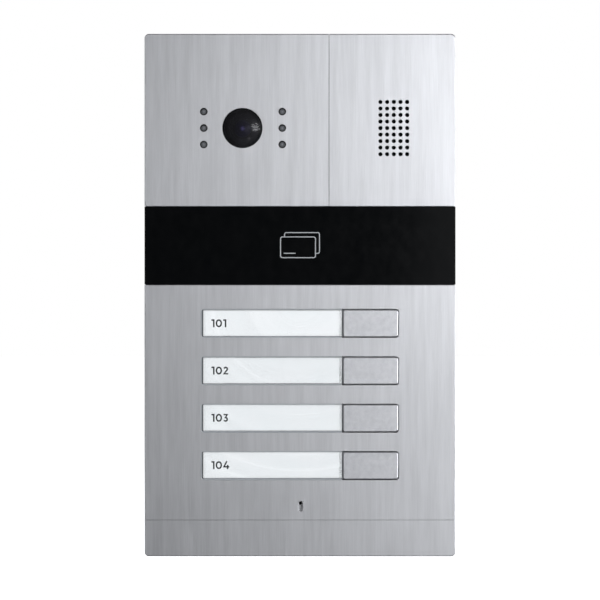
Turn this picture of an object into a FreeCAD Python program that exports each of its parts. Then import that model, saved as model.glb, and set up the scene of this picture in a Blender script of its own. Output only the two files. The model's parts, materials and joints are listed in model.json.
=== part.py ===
"""Door intercom panel: a wall-mounted call station with four keys, a camera, a speaker and a card reader.

Millimetres, +Z up, +X to the right of a visitor. The front faces -Y and the wall is the plane Y = 0.
The origin is the middle of the wall bracket's back face. Each sub-part is written to parts/NODE.step.
"""

import FreeCAD
import Part
import math
import os

from FreeCAD import Vector

# ---------------------------------------------------------------- driving dimensions
# Overall
PANEL_WIDTH = 122.0
PANEL_HEIGHT = 205.0
PANEL_DEPTH = 34.0
CORNER_RADIUS = 1.8
SEAM = 0.2
STRIP_SEAM = 0.12

# Layers, counted from the front face towards the wall
PLATE_THICKNESS = 2.0
TAPE_THICKNESS = 0.3
DECK_THICKNESS = 2.5
WALL_THICKNESS = 2.2
LEDGE_WIDTH = 1.5
EDGE_CHAMFER = 0.35
BAND_CHAMFER = 0.12
BOARD_THICKNESS = 1.6
THIN_BOARD = 1.2
CASE_INSET = 0.3

# Front layout
SEAM_X = 11.4
READER_TOP = 34.76
READER_BOTTOM = 4.09
STRIP_TOP = -88.17

CAMERA_X = -22.6
CAMERA_Z = 65.55
CAMERA_HOLE_RADIUS = 7.9
LED_CENTRE_X = -22.35
LED_OFFSET_X = 15.4
LED_PITCH_Z = 6.45
LED_HOLE_RADIUS = 1.52

SPEAKER_X = 36.8
SPEAKER_Z = 65.55
GRILLE_COLUMNS = 5
GRILLE_ROWS = 9
GRILLE_PITCH_X = 2.62
GRILLE_PITCH_Z = 2.56
GRILLE_HOLE_RADIUS = 0.83
SPEAKER_RADIUS = 18.0

ROW_COUNT = 4
FIRST_ROW_Z = -11.05
ROW_PITCH = 18.6
SLOT_LEFT = -38.9
SLOT_RIGHT = 38.85
SLOT_HEIGHT = 11.4
SLOT_RADIUS = 1.35
KEY_LEFT = 17.1
WINDOW_RIGHT = 16.55
EDGE_GAP = 0.36
KEY_PROUD = 0.4
KEY_TRAVEL = 1.0

MIC_X = 0.1
MIC_Z = -82.75

# Fixing to the wall
WALL_SLOT_SPACING_X = 84.0
WALL_SLOT_SPACING_Z = 120.0
WALL_SLOT_LENGTH = 9.0
WALL_SLOT_WIDTH = 4.5
BOX_HOLE_SPACING = 60.0
BOX_HOLE_RADIUS = 2.1
BOX_HOLE_Z = -22.0
BRACKET_THICKNESS = 1.5
HOOK_X = 35.0
PANEL_SCREW_X = 40.0
PANEL_SCREW_Z = -95.0

# ---------------------------------------------------------------- worked-out stations along Y
FACE = -PANEL_DEPTH
PLATE_BACK = FACE + PLATE_THICKNESS
DECK_FRONT = PLATE_BACK + TAPE_THICKNESS
DECK_BACK = DECK_FRONT + DECK_THICKNESS
KEY_BOARD_BACK = -22.0
KEY_BOARD_FRONT = KEY_BOARD_BACK - BOARD_THICKNESS
MAIN_BOARD_BACK = -16.0
MAIN_BOARD_FRONT = MAIN_BOARD_BACK - BOARD_THICKNESS
CAMERA_BOARD_BACK = -15.4
CAMERA_BOARD_FRONT = CAMERA_BOARD_BACK - THIN_BOARD
IR_BOARD_FRONT = DECK_BACK + 1.2
IR_BOARD_BACK = IR_BOARD_FRONT + THIN_BOARD
COVER_BACK = -6.0
COVER_FRONT = COVER_BACK - 2.0
LEDGE = COVER_FRONT - 0.6
SKIRT_END = -1.2
POCKET_FLOOR = -25.5

# ---------------------------------------------------------------- worked-out outlines
HALF_WIDTH = PANEL_WIDTH / 2
HALF_HEIGHT = PANEL_HEIGHT / 2
CASE_X = HALF_WIDTH - CASE_INSET
CASE_Z = HALF_HEIGHT - CASE_INSET
SKIRT_X = CASE_X - WALL_THICKNESS
SKIRT_Z = CASE_Z - WALL_THICKNESS
CAVITY_X = SKIRT_X - LEDGE_WIDTH
CAVITY_TOP = SKIRT_Z - LEDGE_WIDTH
DIVIDER_BOTTOM = -88.5
CAVITY_BOTTOM = DIVIDER_BOTTOM + 2.0
KEY_RIGHT = SLOT_RIGHT - EDGE_GAP
KEY_HALF = SLOT_HEIGHT / 2 - EDGE_GAP
KEY_X = (KEY_LEFT + KEY_RIGHT) / 2
WINDOW_LEFT = SLOT_LEFT + EDGE_GAP
ROW_Z = [FIRST_ROW_Z - ROW_PITCH * i for i in range(ROW_COUNT)]
LED_PLACES = [
    (LED_CENTRE_X + side * LED_OFFSET_X, CAMERA_Z + step * LED_PITCH_Z)
    for side in (-1, 1)
    for step in (-1, 0, 1)
]
COVER_SCREW_PLACES = [(side * 53.5, z) for side in (-1, 1) for z in (93.0, 5.0, -82.0)]
MAIN_SCREW_PLACES = [(side * 46.5, z) for side in (-1, 1) for z in (38.0, -57.0)]
KEY_SCREW_PLACES = [
    (side * 40.3, (ROW_Z[row] + ROW_Z[row + 1]) / 2) for side in (-1, 1) for row in (0, 2)
]
ANTENNA_SCREW_PLACES = [(side * 39.0, z) for side in (-1, 1) for z in (11.5, 27.5)]
CAMERA_SCREW_PLACES = [
    (CAMERA_X + side * 12.5, CAMERA_Z + up * 14.4) for side in (-1, 1) for up in (-1, 1)
]
IR_SCREW_PLACES = [(CAMERA_X + side * 10.6, CAMERA_Z - side * 8.4) for side in (-1, 1)]
SPEAKER_SCREW_PLACES = [(SPEAKER_X, SPEAKER_Z + up * 21.5) for up in (-1, 1)]
CLIP_PLACES = [(x, PANEL_SCREW_Z + 0.6) for x in (-51.0, -20.0, 20.0, 51.0)]

# Small parts that several sub-parts share
BAY_HALF_X = 28.0
BAY_BOTTOM = 3.0
BAY_TOP = 35.0
BAY_WALL = 1.6
BAY_FLOOR_FRONT = -15.5
TERMINAL_X0 = -22.0
TERMINAL_X1 = 13.0
TERMINAL_Z0 = 21.0
TERMINAL_Z1 = 30.0
TERMINAL_BACK = -7.4
TERMINAL_WAYS = 10
TRIMMER_X = 20.6
TRIMMER_Z = 25.8
TRIMMER_ROTOR_RADIUS = 2.6
FINE_SCREW_RADIUS = 1.0
FINE_HOLE_RADIUS = 1.05
COVER_SCREW_RADIUS = 1.3
PANEL_SCREW_RADIUS = 1.95
DOME_TOP = -27.9
DOME_FLANGE = 0.8
CLIP_PIN_RADIUS = 1.4
CLIP_SOCKET_RADIUS = 1.5
WINDOW_BACK = DECK_FRONT + 0.6
CARD_BACK = WINDOW_BACK + 0.2
CARD_HALF = 5.1
CARD_LEFT = WINDOW_LEFT + 0.5
CARD_RIGHT = 16.4
GUIDE_LEFT = WINDOW_LEFT + 1.0
GUIDE_RIGHT = 15.3
GUIDE_HALF = 4.8
LENS_BARREL_RADIUS = 6.0
LENS_RIM_RADIUS = 6.5
HOLDER_RADIUS = 7.2
WINDOW_FLANGE_RADIUS = 9.3
SEAT_RADIUS = 9.6
WINDOW_RADIUS = 7.75
SPEAKER_MAGNET_RADIUS = 11.0
CONE_RADIUS = 16.6
CONE_FILM = 0.3
CAPSULE_RADIUS = 3.0
BOOT_RADIUS = 3.6
WIRE_RADIUS = 0.6
ON_PLANE = 1e-6


# ---------------------------------------------------------------- shape helpers
def straight(start, end):
    """Straight edge between two points, or none where two round corners meet."""
    return [Part.makeLine(start, end)] if (end - start).Length > ON_PLANE else []


def outline(x0, x1, z0, z1, radii, y):
    """Face of an upright rectangle; radii are for the low-left, low-right, top-right and top-left corners."""
    corners = [(x0, z0, 1, 1), (x1, z0, -1, 1), (x1, z1, -1, -1), (x0, z1, 1, -1)]
    bulge = 1 - math.sqrt(0.5)
    edges = []
    last = None
    first = None
    for index, ((x, z, inward_x, inward_z), r) in enumerate(zip(corners, radii)):
        along_x = Vector(x + inward_x * r, y, z)
        along_z = Vector(x, y, z + inward_z * r)
        start, end = (along_z, along_x) if index % 2 == 0 else (along_x, along_z)
        if last is None:
            first = start
        else:
            edges += straight(last, start)
        if r > 0:
            middle = Vector(x + inward_x * r * bulge, y, z + inward_z * r * bulge)
            edges.append(Part.Arc(start, middle, end).toShape())
        last = end
    edges += straight(last, first)
    return Part.Face(Part.Wire(edges))


def slab(x0, x1, z0, z1, y0, y1, radius=0.0):
    """Plate between two Y stations. radius is one number, or one for each corner."""
    radii = radius if isinstance(radius, tuple) else (radius,) * 4
    return outline(x0, x1, z0, z1, radii, y0).extrude(Vector(0, y1 - y0, 0))


def slab_at(x, z, half_x, half_z, y0, y1, radius=0.0):
    """Plate centred on a point."""
    return slab(x - half_x, x + half_x, z - half_z, z + half_z, y0, y1, radius)


def rod(x, z, radius, y0, y1):
    """Round bar along Y."""
    return Part.makeCylinder(radius, y1 - y0, Vector(x, y0, z), Vector(0, 1, 0))


def turned(x, z, edges):
    """Solid of revolution about a line along Y. edges are drawn in the plane of r = X and y = Y."""
    solid = Part.Face(Part.Wire(edges)).revolve(Vector(0, 0, 0), Vector(0, 1, 0), 360)
    solid.translate(Vector(x, 0, z))
    return solid


def path(points):
    """Straight edges through (r, y) points, in order, left open."""
    vectors = [Vector(r, y, 0) for r, y in points]
    return [Part.makeLine(a, b) for a, b in zip(vectors, vectors[1:])]


def arc(start, middle, end):
    """Round edge through three (r, y) points."""
    return Part.Arc(*[Vector(r, y, 0) for r, y in (start, middle, end)]).toShape()


def dome(apex, rim, r):
    """Three (r, y) points of a ball's cap, from the axis at apex out to radius r at rim."""
    rise = rim - apex
    ball = (r ** 2 + rise ** 2) / (2 * rise)
    halfway = apex + ball - math.copysign(math.sqrt(ball ** 2 - (r / 2) ** 2), ball)
    return [(0, apex), (r / 2, halfway), (r, rim)]


def chamfer_at(solid, y, size):
    """Breaks every edge that lies in the plane at that Y station."""
    edges = [e for e in solid.Edges if all(abs(v.Y - y) < ON_PLANE for v in e.Vertexes)]
    return solid.makeChamfer(size, edges)


def fuse_all(solids):
    joined = solids[0].multiFuse(solids[1:])
    return joined.removeSplitter()


def drilled(board, places):
    """Circuit board with a clearance hole for each of its screws."""
    box = board.BoundBox
    return board.cut([rod(x, z, FINE_SCREW_RADIUS + 0.1, box.YMin, box.YMax) for x, z in places])


def pan_screw(x, z, seat, length, radius, head_radius, head_height):
    """Screw driven towards -Y, with a cross recess. seat is the Y station under its head."""
    head = rod(x, z, head_radius, seat, seat + head_height)
    edge = [e for e in head.Edges if all(abs(v.Y - seat - head_height) < ON_PLANE for v in e.Vertexes)]
    head = head.makeFillet(head_height * 0.45, edge)
    screw = head.fuse(rod(x, z, radius, seat - length, seat))
    depth = head_height * 0.6
    top = seat + head_height
    arm = head_radius * 0.62
    width = head_radius * 0.14
    cross = slab_at(x, z, arm, width, top - depth, top).fuse(slab_at(x, z, width, arm, top - depth, top))
    return screw.cut(cross)


# ---------------------------------------------------------------- front plates
def front_plate(x0, x1, z0, z1):
    """Piece of the panel's front between two upright and two level lines, bevelled on its outside only."""
    whole = slab(-HALF_WIDTH, HALF_WIDTH, -HALF_HEIGHT, HALF_HEIGHT, FACE, PLATE_BACK, CORNER_RADIUS)
    return chamfer_at(whole, FACE, EDGE_CHAMFER).common(slab(x0, x1, z0, z1, FACE, PLATE_BACK))


def broken_level_edge(plate, z):
    """Takes the sharpness off the front edge that runs level beside the reader band."""
    edges = [
        e for e in plate.Edges
        if all(abs(v.Y - FACE) < ON_PLANE and abs(v.Z - z) < ON_PLANE for v in e.Vertexes)
    ]
    return plate.makeChamfer(BAND_CHAMFER, edges)


def camera_plate():
    """Brushed plate, upper left, with the camera and infrared holes."""
    low = READER_TOP + SEAM / 2
    plate = broken_level_edge(front_plate(-HALF_WIDTH, SEAM_X - SEAM / 2, low, HALF_HEIGHT), low)
    holes = [rod(CAMERA_X, CAMERA_Z, CAMERA_HOLE_RADIUS, FACE, PLATE_BACK)]
    holes += [rod(x, z, LED_HOLE_RADIUS, FACE, PLATE_BACK) for x, z in LED_PLACES]
    return plate.cut(holes)


def grille_places():
    for column in range(GRILLE_COLUMNS):
        for row in range(GRILLE_ROWS):
            x = SPEAKER_X + (column - (GRILLE_COLUMNS - 1) / 2) * GRILLE_PITCH_X
            z = SPEAKER_Z + (row - (GRILLE_ROWS - 1) / 2) * GRILLE_PITCH_Z
            yield x, z


def speaker_plate():
    """Brushed plate, upper right, drilled with the sound holes."""
    low = READER_TOP + SEAM / 2
    plate = broken_level_edge(front_plate(SEAM_X + SEAM / 2, HALF_WIDTH, low, HALF_HEIGHT), low)
    return plate.cut([rod(x, z, GRILLE_HOLE_RADIUS, FACE, PLATE_BACK) for x, z in grille_places()])


def reader_window():
    """Gloss black acrylic band over the card reader's antenna."""
    return front_plate(-HALF_WIDTH, HALF_WIDTH, READER_BOTTOM + SEAM / 2, READER_TOP - SEAM / 2)


def button_plate():
    """Brushed plate with the four name-and-key slots and the microphone port."""
    high = READER_BOTTOM - SEAM / 2
    plate = broken_level_edge(front_plate(-HALF_WIDTH, HALF_WIDTH, STRIP_TOP + STRIP_SEAM / 2, high), high)
    half = SLOT_HEIGHT / 2
    slots = [slab(SLOT_LEFT, SLOT_RIGHT, z - half, z + half, FACE, PLATE_BACK, SLOT_RADIUS) for z in ROW_Z]
    dish = slab_at(MIC_X, MIC_Z, 0.95, 2.1, FACE, FACE + 0.8, 0.94)
    port = rod(MIC_X, MIC_Z + 1.1, 0.6, FACE, PLATE_BACK)
    return plate.cut(slots + [dish, port])


def bottom_strip():
    """Brushed strip that hides the panel's screws."""
    return front_plate(-HALF_WIDTH, HALF_WIDTH, -HALF_HEIGHT, STRIP_TOP - STRIP_SEAM / 2)


def strip_clip_frame():
    """Moulded back of the strip: a rimmed tray with four split pins that push into sockets in the case."""
    half_x = CAVITY_X + 0.2
    low, high = -SKIRT_Z + 0.3, DIVIDER_BOTTOM - 0.3
    tray = slab(-half_x, half_x, low, high, PLATE_BACK, PLATE_BACK + 2.4, 1.0)
    hollow = slab(-half_x + 1.4, half_x - 1.4, low + 1.4, high - 1.4, PLATE_BACK + 1.2, PLATE_BACK + 2.4, 0.6)
    tray = tray.cut(hollow)
    pins = []
    for x, z in CLIP_PLACES:
        pin = rod(x, z, CLIP_PIN_RADIUS, PLATE_BACK + 1.0, POCKET_FLOOR + 0.5)
        tip = [e for e in pin.Edges if all(abs(v.Y - POCKET_FLOOR - 0.5) < ON_PLANE for v in e.Vertexes)]
        pin = pin.makeChamfer(0.4, tip)
        pins.append(pin.cut(slab_at(x, z, 0.3, 2.0, PLATE_BACK + 3.0, POCKET_FLOOR + 0.5)))
    return fuse_all([tray] + pins)


def bonding_tape():
    """Foam tape between the front plates and the case deck: one die-cut pad behind each."""
    inset = 1.0
    seat = rod(CAMERA_X, CAMERA_Z, SEAT_RADIUS, PLATE_BACK, DECK_FRONT)
    leds = [rod(x, z, LED_HOLE_RADIUS + 0.6, PLATE_BACK, DECK_FRONT) for x, z in LED_PLACES]
    grille = slab_at(SPEAKER_X, SPEAKER_Z, 8.2, 13.2, PLATE_BACK, DECK_FRONT, 1.0)
    rows = [
        slab(SLOT_LEFT - 1.2, SLOT_RIGHT + 0.6, z - 6.9, z + 6.9, PLATE_BACK, DECK_FRONT, 1.0) for z in ROW_Z
    ]
    mic = rod(MIC_X, MIC_Z, 3.0, PLATE_BACK, DECK_FRONT)
    pads = [
        slab(-CASE_X + inset, SEAM_X - 0.6, READER_TOP + 0.6, CASE_Z - inset, PLATE_BACK, DECK_FRONT),
        slab(SEAM_X + 0.6, CASE_X - inset, READER_TOP + 0.6, CASE_Z - inset, PLATE_BACK, DECK_FRONT),
        slab(-CASE_X + inset, CASE_X - inset, READER_BOTTOM + 0.6, READER_TOP - 0.6, PLATE_BACK, DECK_FRONT),
        slab(
            -CASE_X + inset, CASE_X - inset, DIVIDER_BOTTOM + 0.8, READER_BOTTOM - 0.6, PLATE_BACK, DECK_FRONT
        ),
    ]
    cut = [pads[0].cut([seat] + leds), pads[1].cut(grille), pads[2], pads[3].cut(rows + [mic])]
    return Part.makeCompound(cut)


# ---------------------------------------------------------------- case
def case_shell():
    """Five-sided box with a ledge for the rear cover and a screw pocket at the bottom."""
    box = slab(-CASE_X, CASE_X, -CASE_Z, CASE_Z, DECK_FRONT, SKIRT_END, CORNER_RADIUS - CASE_INSET)
    skirt = slab(-SKIRT_X, SKIRT_X, -SKIRT_Z, SKIRT_Z, LEDGE, SKIRT_END, 1.0)
    cavity = slab(-CAVITY_X, CAVITY_X, CAVITY_BOTTOM, CAVITY_TOP, DECK_BACK, LEDGE, 1.0)
    pocket = slab(-CAVITY_X - 0.5, CAVITY_X + 0.5, -SKIRT_Z, DIVIDER_BOTTOM, DECK_FRONT, POCKET_FLOOR, 1.0)
    under = slab(-CAVITY_X, CAVITY_X, -SKIRT_Z, DIVIDER_BOTTOM, POCKET_FLOOR + 2.5, LEDGE, 1.0)
    return box.cut([skirt, cavity, pocket, under])


def case_bosses():
    """Screw bosses and clip sockets, solid, before they are drilled."""
    stood = [
        (COVER_SCREW_PLACES, 3.2, DECK_BACK, COVER_FRONT),
        (MAIN_SCREW_PLACES, 2.8, DECK_BACK, MAIN_BOARD_FRONT),
        (KEY_SCREW_PLACES, 2.2, DECK_BACK, KEY_BOARD_FRONT),
        (CAMERA_SCREW_PLACES, 2.2, DECK_BACK, CAMERA_BOARD_FRONT),
        (IR_SCREW_PLACES, 1.9, DECK_BACK, IR_BOARD_FRONT),
        (SPEAKER_SCREW_PLACES, 2.4, DECK_BACK, DECK_BACK + 2.5),
        (panel_screw_places(), 4.5, POCKET_FLOOR, -4.4),
        (CLIP_PLACES, 2.7, POCKET_FLOOR - 4.0, POCKET_FLOOR + 1.0),
    ]
    return [rod(x, z, radius, y0, y1) for places, radius, y0, y1 in stood for x, z in places]


def panel_screw_places():
    return [(side * PANEL_SCREW_X, PANEL_SCREW_Z) for side in (-1, 1)]


def case_drillings():
    """Screw holes in the bosses and clip sockets."""
    deep = DECK_BACK - 1.4
    drilled = [
        (COVER_SCREW_PLACES, COVER_SCREW_RADIUS + 0.05, COVER_FRONT - 9.0, COVER_FRONT),
        (MAIN_SCREW_PLACES, FINE_HOLE_RADIUS, MAIN_BOARD_FRONT - 6.0, MAIN_BOARD_FRONT),
        (KEY_SCREW_PLACES, FINE_HOLE_RADIUS, KEY_BOARD_FRONT - 6.0, KEY_BOARD_FRONT),
        (CAMERA_SCREW_PLACES, FINE_HOLE_RADIUS, CAMERA_BOARD_FRONT - 6.0, CAMERA_BOARD_FRONT),
        (IR_SCREW_PLACES, FINE_HOLE_RADIUS, deep, IR_BOARD_FRONT),
        (SPEAKER_SCREW_PLACES, FINE_HOLE_RADIUS, deep, DECK_BACK + 2.5),
        (ANTENNA_SCREW_PLACES, FINE_HOLE_RADIUS, deep, DECK_BACK),
        (panel_screw_places(), PANEL_SCREW_RADIUS + 0.2, POCKET_FLOOR, -4.4),
        (CLIP_PLACES, CLIP_SOCKET_RADIUS, POCKET_FLOOR - 4.0, POCKET_FLOOR + 1.0),
    ]
    return [rod(x, z, radius, y0, y1) for places, radius, y0, y1 in drilled for x, z in places]


def deck_openings():
    """What looks, sounds or moves through the deck."""
    cuts = [
        rod(CAMERA_X, CAMERA_Z, SEAT_RADIUS, DECK_FRONT, DECK_FRONT + 1.3),
        rod(CAMERA_X, CAMERA_Z, 6.9, DECK_FRONT, DECK_BACK),
        slab_at(SPEAKER_X, SPEAKER_Z, 7.0, 12.0, DECK_FRONT, DECK_BACK, 1.0),
        rod(MIC_X, MIC_Z, 1.4, DECK_FRONT, DECK_BACK),
    ]
    cuts += [rod(x, z, LED_HOLE_RADIUS, DECK_FRONT, DECK_BACK) for x, z in LED_PLACES]
    for z in ROW_Z:
        seat = (WINDOW_LEFT - 0.9, KEY_LEFT - 0.4, z - 6.3, z + 6.3)
        cuts.append(slab(*seat, DECK_FRONT, CARD_BACK, 0.5))
        guide_hole = (GUIDE_LEFT - 0.1, GUIDE_RIGHT + 0.1, z - GUIDE_HALF - 0.1, z + GUIDE_HALF + 0.1)
        cuts.append(slab(*guide_hole, DECK_FRONT, DECK_BACK, 0.4))
        cuts.append(slab(KEY_LEFT - 0.4, SLOT_RIGHT, z - 5.65, z + 5.65, DECK_FRONT, DECK_BACK, 0.4))
    return cuts


def front_case():
    """Moulded case: deck, side walls, bosses and two catches for the bracket's hooks."""
    catches = [slab_at(side * HOOK_X, 97.2, 8.0, 3.7, -3.7, -2.2) for side in (-1, 1)]
    body = fuse_all([case_shell()] + case_bosses() + catches)
    return body.cut(case_drillings() + deck_openings())


def rear_cover():
    """Back cover with the terminal bay sunk into it."""
    cover = slab(-SKIRT_X + 0.2, SKIRT_X - 0.2, DIVIDER_BOTTOM, SKIRT_Z - 0.2, COVER_FRONT, COVER_BACK, 1.0)
    tub = slab(-BAY_HALF_X, BAY_HALF_X, BAY_BOTTOM, BAY_TOP, BAY_FLOOR_FRONT, COVER_BACK, 1.5)
    inside = slab(
        -BAY_HALF_X + BAY_WALL, BAY_HALF_X - BAY_WALL, BAY_BOTTOM + BAY_WALL, BAY_TOP - BAY_WALL,
        BAY_FLOOR_FRONT + BAY_WALL, COVER_BACK, 1.0,
    )
    terminals = slab(
        TERMINAL_X0 - 0.3, TERMINAL_X1 + 0.3, TERMINAL_Z0 - 0.3, TERMINAL_Z1 + 0.3,
        BAY_FLOOR_FRONT, COVER_BACK, 0.3,
    )
    trimmer = slab_at(TRIMMER_X, TRIMMER_Z, 3.9, 3.9, BAY_FLOOR_FRONT, COVER_BACK, 0.5)
    screws = [rod(x, z, COVER_SCREW_RADIUS + 0.25, COVER_FRONT, COVER_BACK) for x, z in COVER_SCREW_PLACES]
    ribs = [
        slab_at(side * x, z, 0.7, half_z, COVER_BACK, COVER_BACK + 1.0)
        for side in (-1, 1)
        for x, z, half_z in ((22.0, -44.0, 34.0), (22.0, 66.0, 22.0))
    ]
    return fuse_all([cover, tub] + ribs).cut([inside, terminals, trimmer] + screws)


def case_seal():
    """Flat silicone gasket squeezed between the rear cover and the case's ledge."""
    inner_x, outer_x = CAVITY_X + 0.2, SKIRT_X - 0.3
    outer = slab(-outer_x, outer_x, DIVIDER_BOTTOM + 0.4, SKIRT_Z - 0.3, LEDGE, COVER_FRONT, 1.2)
    inner = slab(-inner_x, inner_x, DIVIDER_BOTTOM + 1.5, CAVITY_TOP + 0.2, LEDGE, COVER_FRONT, 0.8)
    return outer.cut(inner)


def rear_cover_screws():
    return Part.makeCompound(
        [pan_screw(x, z, COVER_BACK, 9.0, COVER_SCREW_RADIUS, 2.6, 1.6) for x, z in COVER_SCREW_PLACES]
    )


def wall_seal():
    """Foam strip between the case's skirt and the wall."""
    ring = slab(-CASE_X, CASE_X, -CASE_Z, CASE_Z, SKIRT_END, 0, CORNER_RADIUS - CASE_INSET)
    return ring.cut(slab(-SKIRT_X, SKIRT_X, -SKIRT_Z, SKIRT_Z, SKIRT_END, 0, 1.0))


def wall_bracket():
    """Stamped steel plate with side flanges, hooks, threaded collars, screw slots and a cable window."""
    half_x, low, high = 56.0, -99.0, 97.0
    back = slab(-half_x, half_x, low, high, -BRACKET_THICKNESS, 0, 3.0)
    flanges = [
        slab(a, b, low + 12.0, high - 12.0, -4.0, 0)
        for a, b in ((-half_x, BRACKET_THICKNESS - half_x), (half_x, half_x - BRACKET_THICKNESS))
    ]
    hooks = []
    collars = []
    cuts = [slab_at(0, 19.0, 30.0, 17.0, -BRACKET_THICKNESS, 0, 3.0)]
    for side in (-1, 1):
        x = side * HOOK_X
        hooks.append(slab_at(x, 90.75, 5.0, 0.75, -5.5, 0))
        hooks.append(slab_at(x, 93.2, 5.0, 3.2, -5.5, -4.0, (0, 0, 1.2, 1.2)))
        cuts.append(slab_at(x, 84.8, 5.6, 5.2, -BRACKET_THICKNESS, 0, 0.8))
        cuts.append(rod(side * BOX_HOLE_SPACING / 2, BOX_HOLE_Z, BOX_HOLE_RADIUS, -BRACKET_THICKNESS, 0))
        collars.append(rod(side * PANEL_SCREW_X, PANEL_SCREW_Z, 3.3, -4.4, 0))
        cuts.append(rod(side * PANEL_SCREW_X, PANEL_SCREW_Z, PANEL_SCREW_RADIUS + 0.05, -4.4, 0))
        for up in (-1, 1):
            cuts.append(
                slab_at(
                    side * WALL_SLOT_SPACING_X / 2, up * WALL_SLOT_SPACING_Z / 2,
                    WALL_SLOT_LENGTH / 2, WALL_SLOT_WIDTH / 2, -BRACKET_THICKNESS, 0,
                    WALL_SLOT_WIDTH / 2,
                )
            )
    ribs = [
        slab_at(side * 20.0, z, 3.0, half_z, -2.2, -BRACKET_THICKNESS, 2.9)
        for side in (-1, 1)
        for z, half_z in ((66.0, 22.0), (-58.0, 26.0))
    ]
    return fuse_all([back] + flanges + hooks + collars + ribs).cut(cuts)


def panel_screws():
    """Long socket-head screws through the case into the bracket's threaded collars, heads to the front."""
    screws = []
    for x, z in panel_screw_places():
        head = rod(x, z, 3.5, POCKET_FLOOR - 3.2, POCKET_FLOOR)
        head = chamfer_at(head, POCKET_FLOOR - 3.2, 0.35)
        socket = Part.makePolygon(
            [
                Vector(x + 1.45 * math.cos(a), POCKET_FLOOR - 3.2, z + 1.45 * math.sin(a))
                for a in [math.radians(60 * k) for k in range(7)]
            ]
        )
        socket = Part.Face(socket).extrude(Vector(0, 1.8, 0))
        shank = rod(x, z, PANEL_SCREW_RADIUS, POCKET_FLOOR, -0.4)
        screws.append(head.fuse(shank).cut(socket))
    return Part.makeCompound(screws)


# ---------------------------------------------------------------- camera
def cap_height_radius(half_width, rise):
    """Radius of the sphere whose cap has that half-width and rise."""
    return (half_width ** 2 + rise ** 2) / (2 * rise)


def camera_window():
    """Domed acrylic window with a flange behind the plate."""
    rise, wall, rim = 1.5, 1.2, FACE + 0.2
    ball = cap_height_radius(WINDOW_RADIUS, rise)
    centre = rim - rise + ball
    inner_ball = ball - wall
    bore = WINDOW_RADIUS - 0.9

    def on_ball(radius, r):
        return centre - math.sqrt(radius ** 2 - r ** 2)

    front = [(r, on_ball(ball, r)) for r in (0, WINDOW_RADIUS / 2, WINDOW_RADIUS)]
    inside = [(r, on_ball(inner_ball, r)) for r in (bore, bore / 2, 0)]
    flange = PLATE_BACK + 0.1
    steps = [
        front[-1], (WINDOW_RADIUS, flange), (WINDOW_FLANGE_RADIUS, flange),
        (WINDOW_FLANGE_RADIUS, flange + 1.0), (bore, flange + 1.0), inside[0],
    ]
    edges = [arc(*front)] + path(steps) + [arc(*inside)] + path([inside[-1], front[0]])
    return turned(CAMERA_X, CAMERA_Z, edges)


def window_seal():
    """Ring gasket under the window's flange."""
    ring = rod(CAMERA_X, CAMERA_Z, WINDOW_FLANGE_RADIUS, PLATE_BACK + 1.1, DECK_FRONT + 1.3)
    return ring.cut(rod(CAMERA_X, CAMERA_Z, 7.4, PLATE_BACK + 1.1, DECK_FRONT + 1.3))


def lens_barrel():
    """Threaded lens tube: a stepped bore behind a wider front rim."""
    front, back = -31.0, -19.2
    rim = LENS_RIM_RADIUS
    profile = [
        (4.4, front), (rim - 0.3, front), (rim, front + 0.3), (rim, front + 1.6),
        (LENS_BARREL_RADIUS, front + 1.6), (LENS_BARREL_RADIUS, back), (3.0, back), (3.0, front + 2.4),
        (3.4, front + 2.4), (3.4, front + 1.2), (4.0, front + 1.2), (4.4, front),
    ]
    return turned(CAMERA_X, CAMERA_Z, path(profile))


def lens_glass():
    """Front and rear lens elements, each between two ball faces."""
    elements = []
    for r, front_apex, front_rim, back_rim, back_apex in (
        (3.35, -31.5, -30.3, -28.7, -29.2),
        (2.9, -24.6, -23.6, -22.6, -21.6),
    ):
        front = dome(front_apex, front_rim, r)
        back = dome(back_apex, back_rim, r)[::-1]
        edges = [arc(*front)] + path([front[-1], back[0]]) + [arc(*back)] + path([back[-1], front[0]])
        elements.append(turned(CAMERA_X, CAMERA_Z, edges))
    return Part.makeCompound(elements)


def lens_holder():
    """Threaded socket for the lens tube, on a square foot over the sensor."""
    foot = slab_at(CAMERA_X, CAMERA_Z, 8.5, 8.5, CAMERA_BOARD_FRONT - 2.6, CAMERA_BOARD_FRONT, 0.8)
    tube = rod(CAMERA_X, CAMERA_Z, HOLDER_RADIUS, -25.6, CAMERA_BOARD_FRONT)
    room = slab_at(CAMERA_X, CAMERA_Z, 6.2, 6.2, CAMERA_BOARD_FRONT - 1.8, CAMERA_BOARD_FRONT)
    bore = rod(CAMERA_X, CAMERA_Z, LENS_BARREL_RADIUS, -25.6, CAMERA_BOARD_FRONT)
    return fuse_all([foot, tube]).cut([bore, room])


def image_sensor():
    """Sensor package with its cover glass."""
    package = slab_at(CAMERA_X, CAMERA_Z, 5.2, 5.2, CAMERA_BOARD_FRONT - 1.0, CAMERA_BOARD_FRONT, 0.2)
    well = slab_at(CAMERA_X, CAMERA_Z, 4.1, 4.1, CAMERA_BOARD_FRONT - 1.0, CAMERA_BOARD_FRONT - 0.55)
    glass = slab_at(CAMERA_X, CAMERA_Z, 4.1, 4.1, CAMERA_BOARD_FRONT - 1.0, CAMERA_BOARD_FRONT - 0.55)
    return Part.makeCompound([package.cut(well), glass])


def camera_board():
    board = slab_at(CAMERA_X, CAMERA_Z, 15.4, 17.2, CAMERA_BOARD_FRONT, CAMERA_BOARD_BACK, 1.0)
    return drilled(board, CAMERA_SCREW_PLACES)


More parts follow.
